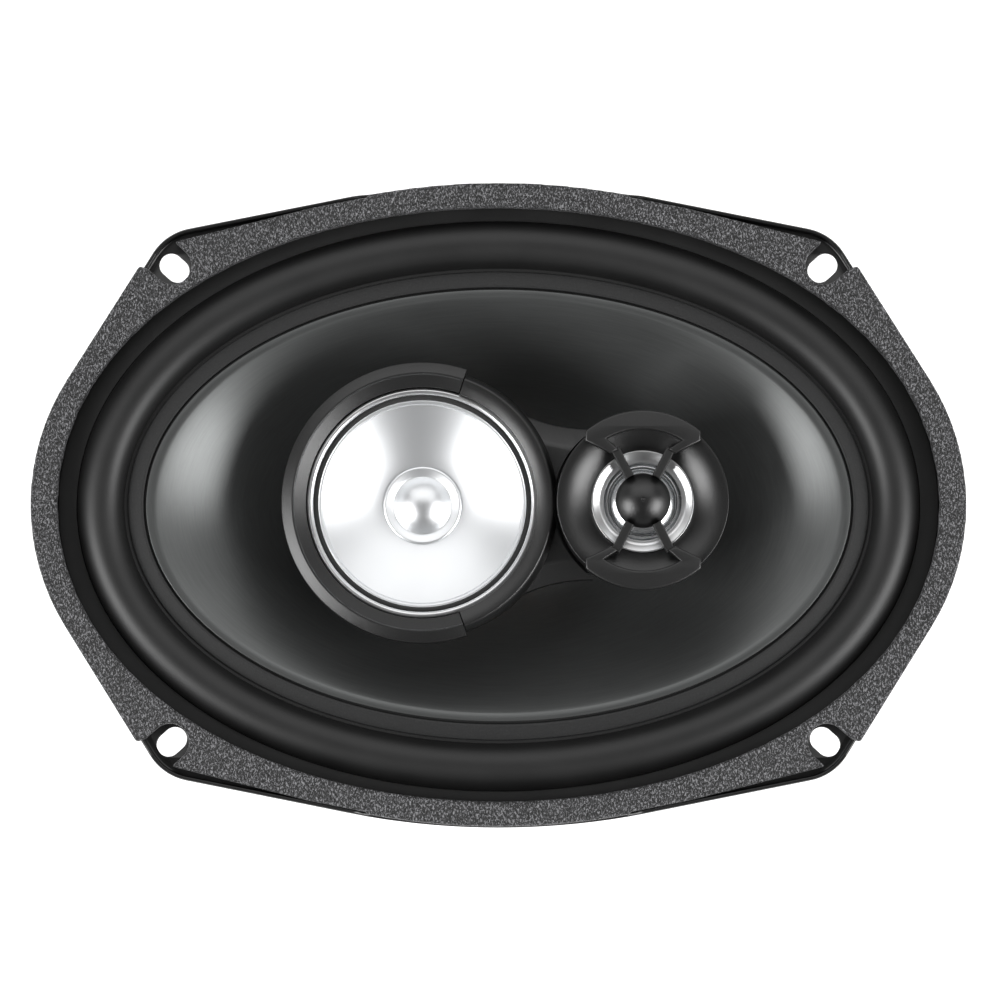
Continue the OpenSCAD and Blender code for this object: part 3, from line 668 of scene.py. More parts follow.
# Pressed phenolic board with a fibrous face
BOARD = grained("phenolic_board", (0.05, 0.035, 0.025), 0.55, 0.35, 4,
                [(0.3, (0.03, 0.021, 0.016)), (0.7, (0.075, 0.052, 0.036))], depth=0.03, coarse=0.7,
                scale=(0.2, 1, 1))
BRASS = grained("terminal_brass", (0.75, 0.62, 0.36), 0.26, 0.2, 3,
                [(0.3, (0.6, 0.46, 0.24)), (0.7, (0.82, 0.7, 0.44))], (0.2, 0.36), 0.008,
                scale=(1, 0.08, 1), metallic=1.0)
CAP_SLEEVE = sleeve("capacitor_sleeve_film", (0.02, 0.035, 0.12))
LEAD_SLEEVE = sleeve("lead_sleeve_plastic", (0.02, 0.02, 0.021))
PLASTIC = spark_plastic()
GRILLE = spark_plastic("grille_plastic_matt", 0.005, 0.38, 0.03)
GLOSSY = spark_plastic("smooth_plastic", 0.004, 0.31, 0.035, 0.26)
# Vacuum-metallised plastic, bright and smooth
TRIM = grained("bright_metal", (0.9, 0.91, 0.92), 0.28, 6, 1, [(0.3, 0.84), (0.7, (0.93, 0.94, 0.95))],
               (0.26, 0.31), 0.0005, metallic=1.0)
SILVER = silver_satin("silver_cone_satin", MID)
SILVER_DOME = silver_satin("silver_dome_satin", TWEETER, 0.26)
# Soft black foam at the midrange cone's edge
EDGE = grained("foam_edge", (0.012,) * 3, 0.85, 0.2, 3, [(0.3, 0.007), (0.7, 0.02)], depth=0.04, coarse=0.7,
               Sheen_Weight=0.2)
NICKEL = plated_steel("nickel_plate", (0.66, 0.64, 0.6), MID, 0.2)

# ---- Basket ----

SLOTS = [(sx, sy) for sx in (-1, 1) for sy in (-1, 1)]
SHEET = 1.0  # thickness of the pressed steel
LEGS = 6
LEG_TURN = 12  # half the turn of a leg at its ends, in degrees
RIM_RISE = 2.6  # height of the lip turned up round each corner
WINDOW_LOW, WINDOW_HIGH = 0.05, 0.965  # ends of a window, as shares of the wall's way up
SHELF_R = 42.0  # inner radius of the wall's foot


def rim_share(outline):
    """How much of the turned-up lip each point of the outline has: it runs only round the corners."""
    rise_start, rise_end, fall_start, fall_end, above = 32, 37, 89.4, 91.2, 55
    x, y = np.abs(outline[:, 0]), np.abs(outline[:, 1])
    return smooth(x, rise_start, rise_end) * (1 - smooth(x, fall_start, fall_end)) * (y > above)


def rim_rings():
    """The flange's outer edge from its rear face, over the lip, to its front face."""
    # (inset, height, share of the lip's rise)
    section = [(1.0, 0, 0), (0.5, 0.02, 0), (0.2, 0.14, 0), (0.04, 0.36, 0), (0, 0.62, 0), (0, 0.74, 0.94),
               (0.07, 0.9, 0.98), (0.24, 1, 1), (0.62, 1, 1), (0.8, 1, 0.98), (0.88, 1, 0.93), (0.9, 1, 0.2),
               (0.98, 1, 0.08), (1.2, 1, 0.01), (1.5, 1, 0), (2.4, 1, 0)]
    share = rim_share(flange_outline(0))
    return [at_height(flange_outline(inset), z + rise * RIM_RISE * share) for inset, z, rise in section]


def slot_rings(sx, sy):
    centre = np.array([sx * SLOT_X, sy * SLOT_Y])
    turn = math.atan2(sy * math.sin(SLOT_TURN), sx * math.cos(SLOT_TURN))
    edge = [(0.12, 0), (0.04, 0.05), (0, 0.16), (0, 0.84), (0.04, 0.95), (0.12, FLANGE_TOP)]
    return [at_height(capsule(centre, turn, SLOT_HALF, SLOT_R + out), z) for out, z in edge]


def wall_point(t, way, outer):
    """A point on the basket's wall, from the shelf (way 0) to the skirt (way 1). Each leg has a rib."""
    eased = lerp(way, smooth(way, 0, 1), 0.45)
    foot = polar(np.full_like(t, SHELF_R + SHEET * outer * 1.2), t)
    head = oval(t, SKIRT_IN + SHEET * outer * 1.3)
    leg = math.tau / LEGS
    off = np.abs((t + leg / 2) % leg - leg / 2) / math.radians(LEG_TURN)
    bead = (1 - smooth(off, 0.22, 0.5)) * smooth(way, 0.04, 0.2) * (1 - smooth(way, 0.8, 0.94))
    swell = 3 * np.sin(math.pi * way) + 1.5 * bead
    level = foot + (head - foot) * eased[:, None] + polar(swell, t)
    return np.column_stack([level, lerp(SHELF_Z + 2, SKIRT_Z, way)])


def resampled(run, count):
    """The same run of points, at even steps."""
    way = walked(run)
    even = np.linspace(0, way[-1], count + 1)
    return np.stack([np.interp(even, way, run[:, k]) for k in range(2)], -1)


def window_grid(centre, side_steps=34, across=12):
    """A sector of the wall, between two legs' middles, as loops of (turn, way) from the window's edge out."""
    half = math.pi / LEGS
    base_steps = STEPS // LEGS
    per_side, corner_r, arc_steps = 12, 5.5, 10
    scale = np.array([46.0, 34.0])  # about how many millimetres one unit of turn and of way is

    def open_half(way):
        return half - math.radians(LEG_TURN) * (1 - 0.25 * math.sin(math.pi * way))

    ways = np.linspace(WINDOW_LOW, WINDOW_HIGH, per_side)
    right = [(open_half(w), w) for w in ways]
    left = [(-open_half(w), w) for w in ways[::-1]]
    corners = [(*(np.array(p) * scale), corner_r if i % per_side in (0, per_side - 1) else 0)
               for i, p in enumerate(right + left)]
    outline = rounded(corners, steps=arc_steps) / scale
    # The outline then starts in the middle of a corner, and each middle starts a side of the sector
    mids = [arc_steps // 2, arc_steps + per_side - 1 + arc_steps // 2]
    mids += [m + len(outline) // 2 for m in mids]
    outline = np.roll(outline, -mids[3], 0)
    mids = [0] + [(m - mids[3]) % len(outline) for m in mids[:3]]
    ends = mids[1:] + [len(outline)]
    closed = np.vstack([outline, outline[:1]])
    counts = [base_steps, side_steps, base_steps, side_steps]
    hole = np.vstack([resampled(closed[a:b + 1] * scale, n)[:-1] / scale
                      for a, b, n in zip(mids, ends, counts)])
    square = [(-half, 0), (half, 0), (half, 1), (-half, 1), (-half, 0)]
    frame_loop = np.vstack([np.linspace(a, b, n, endpoint=False)
                            for a, b, n in zip(square[:-1], square[1:], counts)])
    loops = [lerp(hole, frame_loop, k / across) for k in range(across + 1)]
    return [np.column_stack([loop[:, 0] + centre, loop[:, 1]]) for loop in loops]


def wall_sector(centre):
    """One sixth of the wall as two skins, with a rounded edge round its window."""
    loops = window_grid(centre)
    inner = [wall_point(loop[:, 0], loop[:, 1], 0) for loop in loops]
    outer = [wall_point(loop[:, 0], loop[:, 1], 1) for loop in loops]
    into = inner[0] - inner[1]
    into /= np.linalg.norm(into, axis=1)[:, None]
    core, arm = (inner[0] + outer[0]) / 2, (inner[0] - outer[0]) / 2
    reach = np.linalg.norm(arm, axis=1)[:, None] * into
    edge = [core + math.cos(a) * arm + math.sin(a) * reach for a in np.radians([30, 60, 90, 120, 150])]
    return skin(inner[::-1] + edge + outer, loop=False)


def upper_skins():
    """Rings of the flange's step and the skirt: the front side going down, then the rear side."""
    face, wall_out, skirt_out = 24.2, WALL_IN + SHEET, SKIRT_IN + 1.3 * SHEET
    front = rounded([(face, FLANGE_TOP), (WALL_IN, FLANGE_TOP, 0.55), (WALL_IN, LAND_Z, 0.8),
                     (SKIRT_IN, LAND_Z, 1.2), (SKIRT_IN, SKIRT_Z)], closed=False)
    rear = rounded([(face, 0), (wall_out, 0, 0.08), (wall_out, LAND_Z - SHEET, 1.2),
                    (skirt_out, LAND_Z - SHEET, 0.8), (skirt_out, SKIRT_Z)], closed=False)
    return [oval_ring(d, z) for d, z in front], [oval_ring(d, z) for d, z in rear]


def lower_skin():
    """Rings of the spider shelf and the motor seat, from the wall's inner foot round to its outer foot."""
    foot, low, seat_r, hole = SHELF_R + 1.2 * SHEET, SHELF_Z + 2, 36, 22
    seat_out = seat_r + SHEET
    profile = rounded([
        (SHELF_R, low), (SHELF_R, SHELF_Z, 0.7), (seat_r, SHELF_Z, 0.9), (seat_r, PLATE_TOP + SHEET, 0.9),
        (hole, PLATE_TOP + SHEET, 0.45), (hole, PLATE_TOP, 0.45), (seat_out, PLATE_TOP, 0.9),
        (seat_out, SHELF_Z - SHEET, 0.8), (foot, SHELF_Z - SHEET, 1.2), (foot, low)], closed=False)
    return [round_ring(r, z) for r, z in profile]


def flange_faces(front_ring, rear_ring):
    """The flange's two flat faces and its slots, between its outer edge and the step."""
    edge = rim_rings()
    slots = [slot_rings(sx, sy) for sx, sy in SLOTS]
    shells = [skin(edge, loop=False)] + [skin(rings, loop=False) for rings in slots]
    for end, inner in ((-1, front_ring), (0, rear_ring)):
        loops = [edge[end], inner] + [rings[end] for rings in slots]
        shells.append((np.concatenate(loops), flat_face(loops)))
    return shells


def rivet_hole(side, r):
    """Hole for a terminal's rivet, on the board's left (-1) or right (1)."""
    return arc((side * TERMINAL_X, BOARD_Y), r, 0, 345, 23)


def terminal_tab():
    """Bent tab under the shelf that carries the terminal board."""
    low, half, back = BOARD_HIGH[2], 14, BOARD_Y + 7.5
    holes = [rivet_hole(s, 1.7) for s in (-1, 1)]
    plate = slab(box_outline(-half, half, BOARD_Y - 6, back + 0.1, 1.2), low, low + SHEET, 0.2, holes)
    riser = slab(box_outline(-half, half, back, back + SHEET, 0.3), low, SHELF_Z - SHEET, 0.2)
    return joined(plate, riser)


def basket():
    front, rear = upper_skins()
    shells = flange_faces(front[0], rear[0])
    shells += [skin(front, loop=False), skin(rear, loop=False), skin(lower_skin(), loop=False)]
    shells += [wall_sector(math.tau * (i + 0.5) / LEGS) for i in range(LEGS)]
    piece("pressed_basket", joined(*shells, terminal_tab()), STEEL, "basket")


# ---- Gasket and suspension ----


def front_gasket():
    """The foam gasket: the frame's own outline rebuilt in small quads, with soft edges and a rough skin."""
    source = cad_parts["front_gasket"].data
    points = np.array([v.co for v in source.vertices]) / MM
    faces = [list(polygon.vertices) for polygon in source.polygons]
    points, faces = remeshed((points, faces), voxel=0.55, passes=5)
    count, shortest, longest, swing = 24, 1.1, 2.6, 0.045
    rng = np.random.default_rng(7)
    waves = rng.normal(size=(count, 3))
    waves *= (2 * math.pi / rng.uniform(shortest, longest, count) / np.linalg.norm(waves, axis=1))[:, None]
    height = np.cos(points @ waves.T + rng.uniform(0, math.tau, count)).sum(1) / math.sqrt(count)
    points[:, 2] += swing * height * (points[:, 2] > FLANGE_TOP + 1)
    piece("foam_gasket", (points, faces), CREPE, "front_gasket", sharp=180)


def roll_arc(r, start, end, steps):
    return arc((ROLL_MID, ROLL_BASE), r, start, end, steps)


def surround():
    """The rubber half roll and its outer flange, between the frame and the cone."""
    thin, low, bond_in = ROLL_R - 0.6, EDGE_Z - 0.75, -1.4
    foot_in = rounded([(bond_in, EDGE_Z - 1.3), (bond_in, EDGE_Z - 0.1, 0.1), (-0.1, EDGE_Z - 0.1, 0.1),
                       (-0.1, low, 0.1), (5.0, low, 0.4), (ROLL_MID - ROLL_R, ROLL_BASE - 0.1)], closed=False)
    rim, rim_top = 22.5, LAND_Z + 0.65
    foot_out = rounded([(ROLL_MID + ROLL_R, ROLL_BASE), (ROLL_MID + ROLL_R + 0.15, rim_top, 0.5),
                        (rim, rim_top, 0.3), (rim, LAND_Z, 0.1), (ROLL_MID + thin, LAND_Z)], closed=False)
    section = np.vstack([foot_in, roll_arc(ROLL_R, 176, 2, 40), foot_out, roll_arc(thin, 0, 180, 36),
                         [(5.2, EDGE_Z - 1.3)]])
    obj = piece("surround_roll", oval_sweep(section), RUBBER, "surround", None)
    out = oval_distance(points_of(obj)[:, :2])
    hold_between(obj)


def oval_distance(points):
    """About how far each point lies outside the cone's edge."""
    turns = np.arctan2(points[:, 1] / CONE_B, points[:, 0] / CONE_A)
    for _ in range(6):
        edge = oval(turns, 0)
        along = np.stack([-CONE_A * np.sin(turns), CONE_B * np.cos(turns)], -1)
        turns = turns + np.sum((points - edge) * along, 1) / np.sum(along * along, 1)
    edge = oval(turns, 0)
    outward = oval(turns, 1) - edge
    return np.sum((points - edge) * outward, 1)


def surround_band():
    """The flat band where the surround is bonded to the cone."""
    low, top = EDGE_Z - 0.74, EDGE_Z + 0.32
    section = rounded([(0.7, low), (0.7, top - 0.15, 0.25), (1.3, top, 0.4), (BAND_OUT, top - 0.6, 0.25),
                       (BAND_OUT, low)], closed=True)
    piece("surround_band", oval_sweep(section), BAND, body="woofer")


CONE_FLARE = 1.12  # over 1, the cone's face is steeper at its neck


def cone_way(s):
    """Height of the cone's face, s of the way out from its neck."""
    rise = EDGE_Z + 0.8 - NECK_Z
    return NECK_Z + rise * (1 - (1 - s) ** CONE_FLARE)


def woofer_cone():
    neck, thick = FORMER_R + 0.05, 0.9
    ways = np.linspace(0, 1, 64) ** 0.9
    low = NECK_Z - 4

    def face_ring(s, r, drop):
        return at_height(lerp(polar(r, TURNS), oval(TURNS, -LIP_W), s), cone_way(s) - drop)

    lip = rounded([(-LIP_W, EDGE_Z + 0.8), (0.05, EDGE_Z + 0.74, 0.1), (0.05, EDGE_Z, 0.2), (-LIP_W, EDGE_Z)],
                  closed=False)
    rings = [face_ring(s, neck, 0) for s in ways]
    rings += [oval_ring(d, z) for d, z in lip[1:]]
    rings += [face_ring(s, neck + thick, thick) for s in ways[::-1][1:]]
    rings += [round_ring(r, z) for r, z in ((neck + thick, low + 0.4), (neck + 0.6, low), (neck, low))]
    piece("cone_shell", skin(rings), CONE, "woofer_cone", "woofer")


def spider():
    """Corrugated cloth that centres the voice coil."""
    waves, swing, thick = 5, 1.3, 0.34
    inner, outer = FORMER_R + 0.1, SHELF_R - 0.4
    start, end = inner + 1.4, outer - 6.4
    way = np.linspace(0, 1, waves * 18 + 1)
    r, z = lerp(start, end, way), SHELF_Z + thick + swing * np.sin(math.tau * waves * way)
    slope = np.gradient(z, r)
    normal = np.stack([-slope, np.ones_like(slope)], -1) / np.hypot(slope, 1)[:, None]
    line = np.stack([r, z], -1)
    top, bottom = line + normal * thick / 2, line - normal * thick / 2
    collar = rounded([(inner, SHELF_Z + 0.06), (inner, SHELF_Z + 1.6, 0.1), (inner + 0.5, SHELF_Z + 1.6, 0.2),
                      (inner + 0.6, SHELF_Z + 0.6, 0.3), (start, SHELF_Z + 0.5)], closed=False)
    flat = rounded([(end + 0.3, SHELF_Z + 0.48), (outer, SHELF_Z + 0.48, 0.12), (outer, SHELF_Z + 0.05, 0.12),
                    (end + 0.3, SHELF_Z + 0.05)], closed=False)
    profile = np.vstack([collar[:-1], top, flat, bottom[::-1]])
    obj = piece("spider_damper", lathe(profile), CLOTH, "spider", None)
    flexing_ring(obj, ORIGIN)


# ---- Motor ----


def top_plate():
    bore = 19.5
    profile = rounded([(bore, PLATE_BOTTOM, 0.3), (PLATE_R, PLATE_BOTTOM, 0.5), (PLATE_R, PLATE_TOP, 0.5),
                       (bore, PLATE_TOP, 0.3)])
    piece("motor_top_plate", lathe(profile), PLATED, "top_plate")


def ring_magnet():
    bore, chamfer = 24, 0.85
    corners = [[(bore, z, 0.2), (MAGNET_R - chamfer, z, 0.25), (MAGNET_R, z + way * chamfer, 0.25)]
               for z, way in ((MAGNET_BOTTOM, 1), (PLATE_BOTTOM, -1))]
    profile = rounded(corners[0] + corners[1][::-1], steps=4)
    piece("ferrite_ring", lathe(profile), FERRITE, "ring_magnet")


def back_plate():
    """The back plate and pole: counterbored for the centre post, with a groove for the pods' lead."""
    pole_r, bore, sunk_r, sunk = 17.5, 6, 12, BACK_Z + 5
    plate = lathe(rounded([
        (bore, BACK_Z), (BACK_R, BACK_Z, 1.1), (BACK_R, MAGNET_BOTTOM, 0.3), (pole_r, MAGNET_BOTTOM, 0.3),
        (pole_r, POLE_TOP - 1, 0.1), (pole_r - 1, POLE_TOP, 0.1), (bore, POLE_TOP)]))
    counterbore = lathe([(0, BACK_Z - 1), (sunk_r + 0.25, BACK_Z - 1), (sunk_r + 0.25, BACK_Z),
                         (sunk_r, BACK_Z + 0.25), (sunk_r, sunk), (0, sunk)])
    groove = slab(box_outline(-2, 2, -50, -1, 0.3), BACK_Z - 1, BACK_Z + 4, 0.3)
    shell = carved(carved(plate, counterbore), groove)
    piece("motor_back_plate", shell, PLATED, "back_plate_and_pole")


def centre_post():
    """The tube that carries the pods: flared at its foot, with a collar on the pole."""
    foot, bore, r, collar_r = BACK_Z + 4, 4, 6, 8.5
    profile = rounded([
        (bore, foot, 0.2), (r + 1.6, foot, 0.3), (r, foot + 1, 0.3), (r, POLE_TOP, 0.1),
        (collar_r, POLE_TOP, 0.3), (collar_r, POLE_TOP + 2, 0.2), (collar_r - 1, POLE_TOP + 3, 0.3),
        (r, POLE_TOP + 3, 0.4), (r, POST_TOP - 0.4, 0.1), (r - 0.4, POST_TOP, 0.1), (bore, POST_TOP, 0.2)],
        steps=4)
    piece("hollow_post", lathe(profile, steps=96), PLATED, "centre_post")


def basket_rivets():
    floor, pitch_r, count = PLATE_TOP + SHEET, 29, 4
    profile = rounded([(0, floor - 0.3), (1.95, floor - 0.3), (1.95, floor), (3.5, floor, 0.1),
                       (3.3, floor + 0.9, 0.4), (2.0, floor + 1.35, 0.8), (0, floor + 1.4)])
    head = lathe(profile, steps=48)
    heads = [spun(moved(head, (pitch_r, 0, 0)), 360 / count * (i + 0.5)) for i in range(count)]
    piece("motor_rivets", joined(*heads), STEEL, "basket_rivets")


def voice_coil():
    """The former's tube, and its winding, one ridge to each turn of wire."""
    low, high = FORMER_LOW, FORMER_HIGH
    inside = FORMER_R - 0.3
    tube_profile = rounded([(inside, low, 0.1), (FORMER_R, low, 0.1), (FORMER_R, high, 0.1),
                            (inside, high, 0.1)], steps=2)
    piece("coil_former", lathe(tube_profile, steps=144), FILM, "voice_coil_former", "woofer")
    turns = 28
    z = np.linspace(COIL_LOW[2], COIL_HIGH[2], turns * 6 + 1)
    r = COIL_HIGH[0] - 0.13 * (1 - np.abs(np.sin(math.pi * turns * (z - z[0]) / (z[-1] - z[0]))))
    wire = np.vstack([[(FORMER_R + 0.01, z[0])], np.stack([r, z], -1), [(FORMER_R + 0.01, z[-1])]])
    piece("coil_winding", lathe(wire, steps=144), COPPER, "voice_coil_winding", "woofer",
          sharp=80)


# ---- Leads, terminals and capacitors ----

ANCHOR_TURN = math.radians(-78)
ANCHOR_WAY = 0.44  # how far up the cone's face the leads are glued


def anchor_place():
    neck = FORMER_R + 0.05
    level = lerp(polar(neck, ANCHOR_TURN), oval(ANCHOR_TURN, -LIP_W), ANCHOR_WAY)
    return np.array([*level, cone_way(ANCHOR_WAY) - 2.6])


def blob(at, radii, seed):
    """A drop of set glue: a lumpy flattened ball."""
    around = np.linspace(0, math.tau, 32, endpoint=False)
    rng = np.random.default_rng(seed)
    lumps = rng.uniform(-0.05, 0.05, 6)
    rings = []
    for lift in np.radians(np.linspace(-90, 90, 19)):
        waves = sum(k * np.cos((i + 1) * around + 9 * k + lift) for i, k in enumerate(lumps))
        swell = 1 + waves * math.cos(lift)
        ring = polar(math.cos(lift) * swell, around) * radii[:2]
        rings.append(at_height(ring, math.sin(lift) * radii[2]) + at)
    return skin(rings, loop=False)


def lead_anchors():
    """The drop of glue that holds each lead under the cone."""
    spot = anchor_place()
    blobs = [blob(spot * (s, 1, 1), np.array([2.0, 1.5, 1.4]), 3 + s) for s in (-1, 1)]
    piece("lead_glue", joined(*blobs), GLUE, "lead_anchors", "woofer")


def tinsel_leads():
    """The two braids from the terminals, through a window, to the cone."""
    spot, x = anchor_place(), TERMINAL_X
    high = BOARD_HIGH[2]
    route = [(x, BOARD_Y, high + 1.9), (x, BOARD_Y, high + 6), (x, -48, -39), (x, -43, -33.5),
             (x, -36, -30.5), (spot[0], spot[1], -27), spot - (0, 0, 0.4)]
    path = smooth_path(route, 16)
    leads = [tube(path * (side, 1, 1), 0.66, 18, lobes=3, twist=1.5, relief=0.12) for side in (1, -1)]
    obj = piece("tinsel_braids", joined(*leads), BRAID, "tinsel_leads", None, sharp=80)
    points = points_of(obj)
    hold_between(obj)


def terminal_board():
    low, high = BOARD_LOW, BOARD_HIGH
    holes = [rivet_hole(s, 1.6) for s in (-1, 1)]
    outline = box_outline(low[0], high[0], low[1], high[1], 1.5)
    shell = slab(outline, low[2], high[2], 0.2, holes)
    piece("phenolic_board", shell, BOARD, "terminal_board")


def terminal_rivets():
    low, high = BOARD_LOW[2], BOARD_HIGH[2]
    profile = rounded([
        (0, low - 1.2), (2.2, low - 1.2, 0.4), (2.6, low - 0.8, 0.2), (2.6, low - 0.5, 0.05),
        (1.55, low - 0.5), (1.55, high + 1), (2.4, high + 1, 0.05), (2.4, high + 1.3, 0.2),
        (1.6, high + 1.85, 0.3), (0, high + 1.9)])
    eyelet = lathe(profile, steps=48)
    pair = [moved(eyelet, (s * TERMINAL_X, BOARD_Y, 0)) for s in (-1, 1)]
    piece("eyelet_rivets", joined(*pair), BRASS, "terminal_rivets")


def spade(x, width):
    """A spade terminal: a shouldered blade with a tapered tip and a hole."""
    thick = 0.5
    low = BOARD_LOW[2] - thick
    w, shoulder = width / 2, 3.4
    tip, taper, foot, head = BOARD_Y - 18, BOARD_Y - 16.6, BOARD_Y - 4, BOARD_Y + 4
    outline = rounded([
        (x - w + 0.9, tip, 0.3), (x + w - 0.9, tip, 0.3), (x + w, taper, 0.4), (x + w, foot, 0.3),
        (x + shoulder, foot, 0.5), (x + shoulder, head, 0.7), (x - shoulder, head, 0.7),
        (x - shoulder, foot, 0.5), (x - w, foot, 0.3), (x - w, taper, 0.4)], steps=3)
    holes = [arc((x, BOARD_Y), 1.62, 0, 345, 23), arc((x, BOARD_Y - 13.5), 0.8, 0, 345, 23)]
    return slab(outline, low, low + thick, 0.1, holes, steps=2)


def terminals():
    piece("positive_spade", spade(-TERMINAL_X, 4.8), BRASS, "positive_terminal")
    piece("negative_spade", spade(TERMINAL_X, 2.8), PLATED, "negative_terminal")


def capacitor(node, name):
    """A sleeved electrolytic capacitor: crimped can, dished ends, and a wire up to the board at each end."""
    low, high = limits(node)
    end = 2  # the node's box takes in this much of each wire
    x, length = low[0] + end, high[0] - low[0] - 2 * end
    r = (high[1] - low[1]) / 2
    z = low[2] + r
    at = np.array([x, (low[1] + high[1]) / 2, z])
    can = rounded([
        (0, 0.5), (r - 1.6, 0.5, 0.2), (r - 1.2, 0.1, 0.2), (r - 0.5, 0, 0.4), (r, 0.6, 0.4), (r, 2.0, 0.4),
        (r - 0.6, 2.6, 0.4), (r, 3.2, 0.4), (r, length - 0.6, 0.5), (r - 0.5, length, 0.3),
        (r - 1.2, length - 0.1, 0.2), (r - 1.6, length - 0.5, 0.2), (0, length - 0.5)])
    body = moved(laid_along_x(lathe(can, steps=96)), at)
    piece(name, body, CAP_SLEEVE, node)
    wires = []
    for start, bend in ((0.6, -1.6), (length - 0.6, length + 1.6)):
        route = [(start, 0, 0), (bend, 0, 0), (bend, 0, 1.5), (bend, 0, BOARD_LOW[2] - z)]
        wires.append(moved(tube(smooth_path(route, 10), 0.38, 14), at))
    piece(name + "_wires", joined(*wires), BRASS)


def pod_lead():
    """The twisted pair that feeds the pods: down the post, along the groove and up to the board."""
    drop, board, rise_y = BACK_Z + 2, BOARD_LOW[2], -47.6
    route = [(0, POST_TOP), (0, -30), (0, -60), (0, drop + 4), (0, drop), (-5, drop), (-25, drop),
             (-43, drop), (rise_y, drop), (rise_y, drop + 5), (rise_y, -70), (rise_y, board - 1.5),
             (rise_y, board - 0.1)]
    path = smooth_path([(0, y, z) for y, z in route], 14)
    shell = tube(path, 1.02, 22, lobes=2, twist=0.45, relief=0.17)
    piece("pod_lead_pair", shell, LEAD_SLEEVE, "pod_lead", sharp=80)


# ---- Pods ----

SEAM = 71  # half the turn that the bridge cover takes up round the midrange, in degrees
CHASSIS_R = 33.05
HOUSING_R = 21.7
COLLAR_IN = 29.0
COLLAR_R = 34.4
COLLAR_CREST = 32.8  # radius where the collar is highest
SEAT = MID_SEAT + 0.05  # the covers' lower face, just over the chassis
TALL = 20  # half the height of a cutter that goes right through


def carried_over(node, material):
    """A CAD node that keeps its shape and gets a finished material."""
    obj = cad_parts[node]
    obj.data.materials.clear()
    obj.data.materials.append(material)


def arm_outline(inset):
    """Outline of the arm, widest at the midrange and waisted at the tweeter."""
    start, end, waist, swell = -2, 24, 19.2, 8.6
    x = lerp(start, end, np.linspace(0, 1, 25))
    y = waist + swell * ((end - x) / (end - start)) ** 2.2 - inset
    upper = np.stack([x, y], -1)
    return np.vstack([upper * (1, -1), upper[::-1]])


def through_cutter(r, at):
    return lathe([(0, -TALL), (r, -TALL), (r, TALL), (0, TALL)], at)


def bridge_cover():
    """The rounded collar on the midrange's right, and the waisted arm that it carries over to the tweeter."""
    crest_z, inner_drop, outer_drop, bend = 7.15, 1.1, 3.2, 1.9
    hollow = np.array([(COLLAR_IN, SEAT), (COLLAR_IN, 5.3)])
    r = np.linspace(COLLAR_IN + 0.12, COLLAR_R, 30)
    inside = inner_drop * ((COLLAR_CREST - r).clip(0) / (COLLAR_CREST - COLLAR_IN)) ** bend
    outside = outer_drop * ((r - COLLAR_CREST).clip(0) / (COLLAR_R - COLLAR_CREST)) ** bend
    back = np.stack([r, crest_z - inside - outside], -1)
    outer = rounded([(COLLAR_R, 3.1), (COLLAR_R, -1, 0.2), (CHASSIS_R, -1), (CHASSIS_R, SEAT)], closed=False)
    collar = lathe(np.vstack([hollow, back, outer]), MID, (-SEAM, SEAM), 150)
    # (inset, height) of the arm's outline, from its foot to its top
    rises = [(0.4, -4), (0, -3.6), (0, -0.6), (0.15, -0.15), (0.6, 0.15), (4.6, 2.25), (5.2, 2.5), (6.2, 2.6)]
    arm = stack([at_height(arm_outline(inset), z) for inset, z in rises])
    arm = carved(arm, through_cutter(CHASSIS_R, MID))
    shell = carved(carved(arm, collar, "UNION"), through_cutter(HOUSING_R + 0.8, TWEETER))
    piece("pod_bridge_cover", shell, PLASTIC, "bridge_cover", sharp=30)


def bridge_screws():
    """Two pan-head screws with crossed slots, up through the bracket."""
    seat, x, y = -7, 15.2, 15
    profile = rounded([(0, seat - 1.6), (2.0, seat - 1.6, 0.5), (2.5, seat - 1.1, 0.3), (2.5, seat, 0.05),
                       (1.05, seat), (1.05, -0.6), (0, -0.2)])
    screw = lathe(profile, steps=48)
    cross = joined(slab(box_outline(-1.5, 1.5, -0.3, 0.3, 0.05, 2), seat - 3, seat - 0.8, 0.03))
    for turn in (0, 90):
        screw = carved(screw, spun(cross, turn))
    pair = [moved(screw, (x, s * y, 0)) for s in (-1, 1)]
    piece("cover_screws", joined(*pair), PLATED, "bridge_screws")


def midrange_bezel():
    """The C-shaped bezel on the midrange's left: a sloped outer band, a crisp ridge and a funnel inside."""
    gap, inside, r, seat = 0.5, 29.4, 35.6, MID_SEAT + 0.02
    profile = rounded([
        (inside, seat), (inside, 5.2, 0.2), (32.3, 6.95, 0.1), (32.6, 7.5, 0.15), (32.95, 7.5, 0.15),
        (r, 6.35, 0.4), (r, 0.4, 0.3), (CHASSIS_R, 0.4), (CHASSIS_R, seat)])
    shell = lathe(profile, MID, (SEAM + gap, 360 - SEAM - gap), 230)
    piece("pod_bezel", shell, PLASTIC, "midrange_bezel", sharp=30)


def midrange_chassis():
    """The midrange's own basket: a bowl with a ledge for its edge and a seat for the covers."""
    profile = rounded([
        (10, -9.5), (14, -9.5, 1), (25.5, -3, 1), (28, 0, 0.5), (30, 1.5, 0.3), (33, 1.5, 0.2),
        (33, MID_SEAT, 0.2), (29.6, MID_SEAT, 0.2), (29.6, 2), (27.4, 2), (27.4, 0.6), (24.8, -1.6),
        (13.6, -8), (10, -8)])
    piece("midrange_basket", lathe(profile, MID), PLASTIC, "midrange_chassis")


def midrange_trim_ring():
    middle_r, half, low = 28.45, 0.85, 2.4
    crown = arc((middle_r, low + 1.1), half, 180, 0, 18)
    profile = np.vstack([[(middle_r - half, low)], crown, [(middle_r + half, low)]])
    piece("midrange_bright_ring", lathe(profile, MID), TRIM, "midrange_trim_ring")


MID_CONE_R = 26.4
MID_CONE_NECK = 9.2


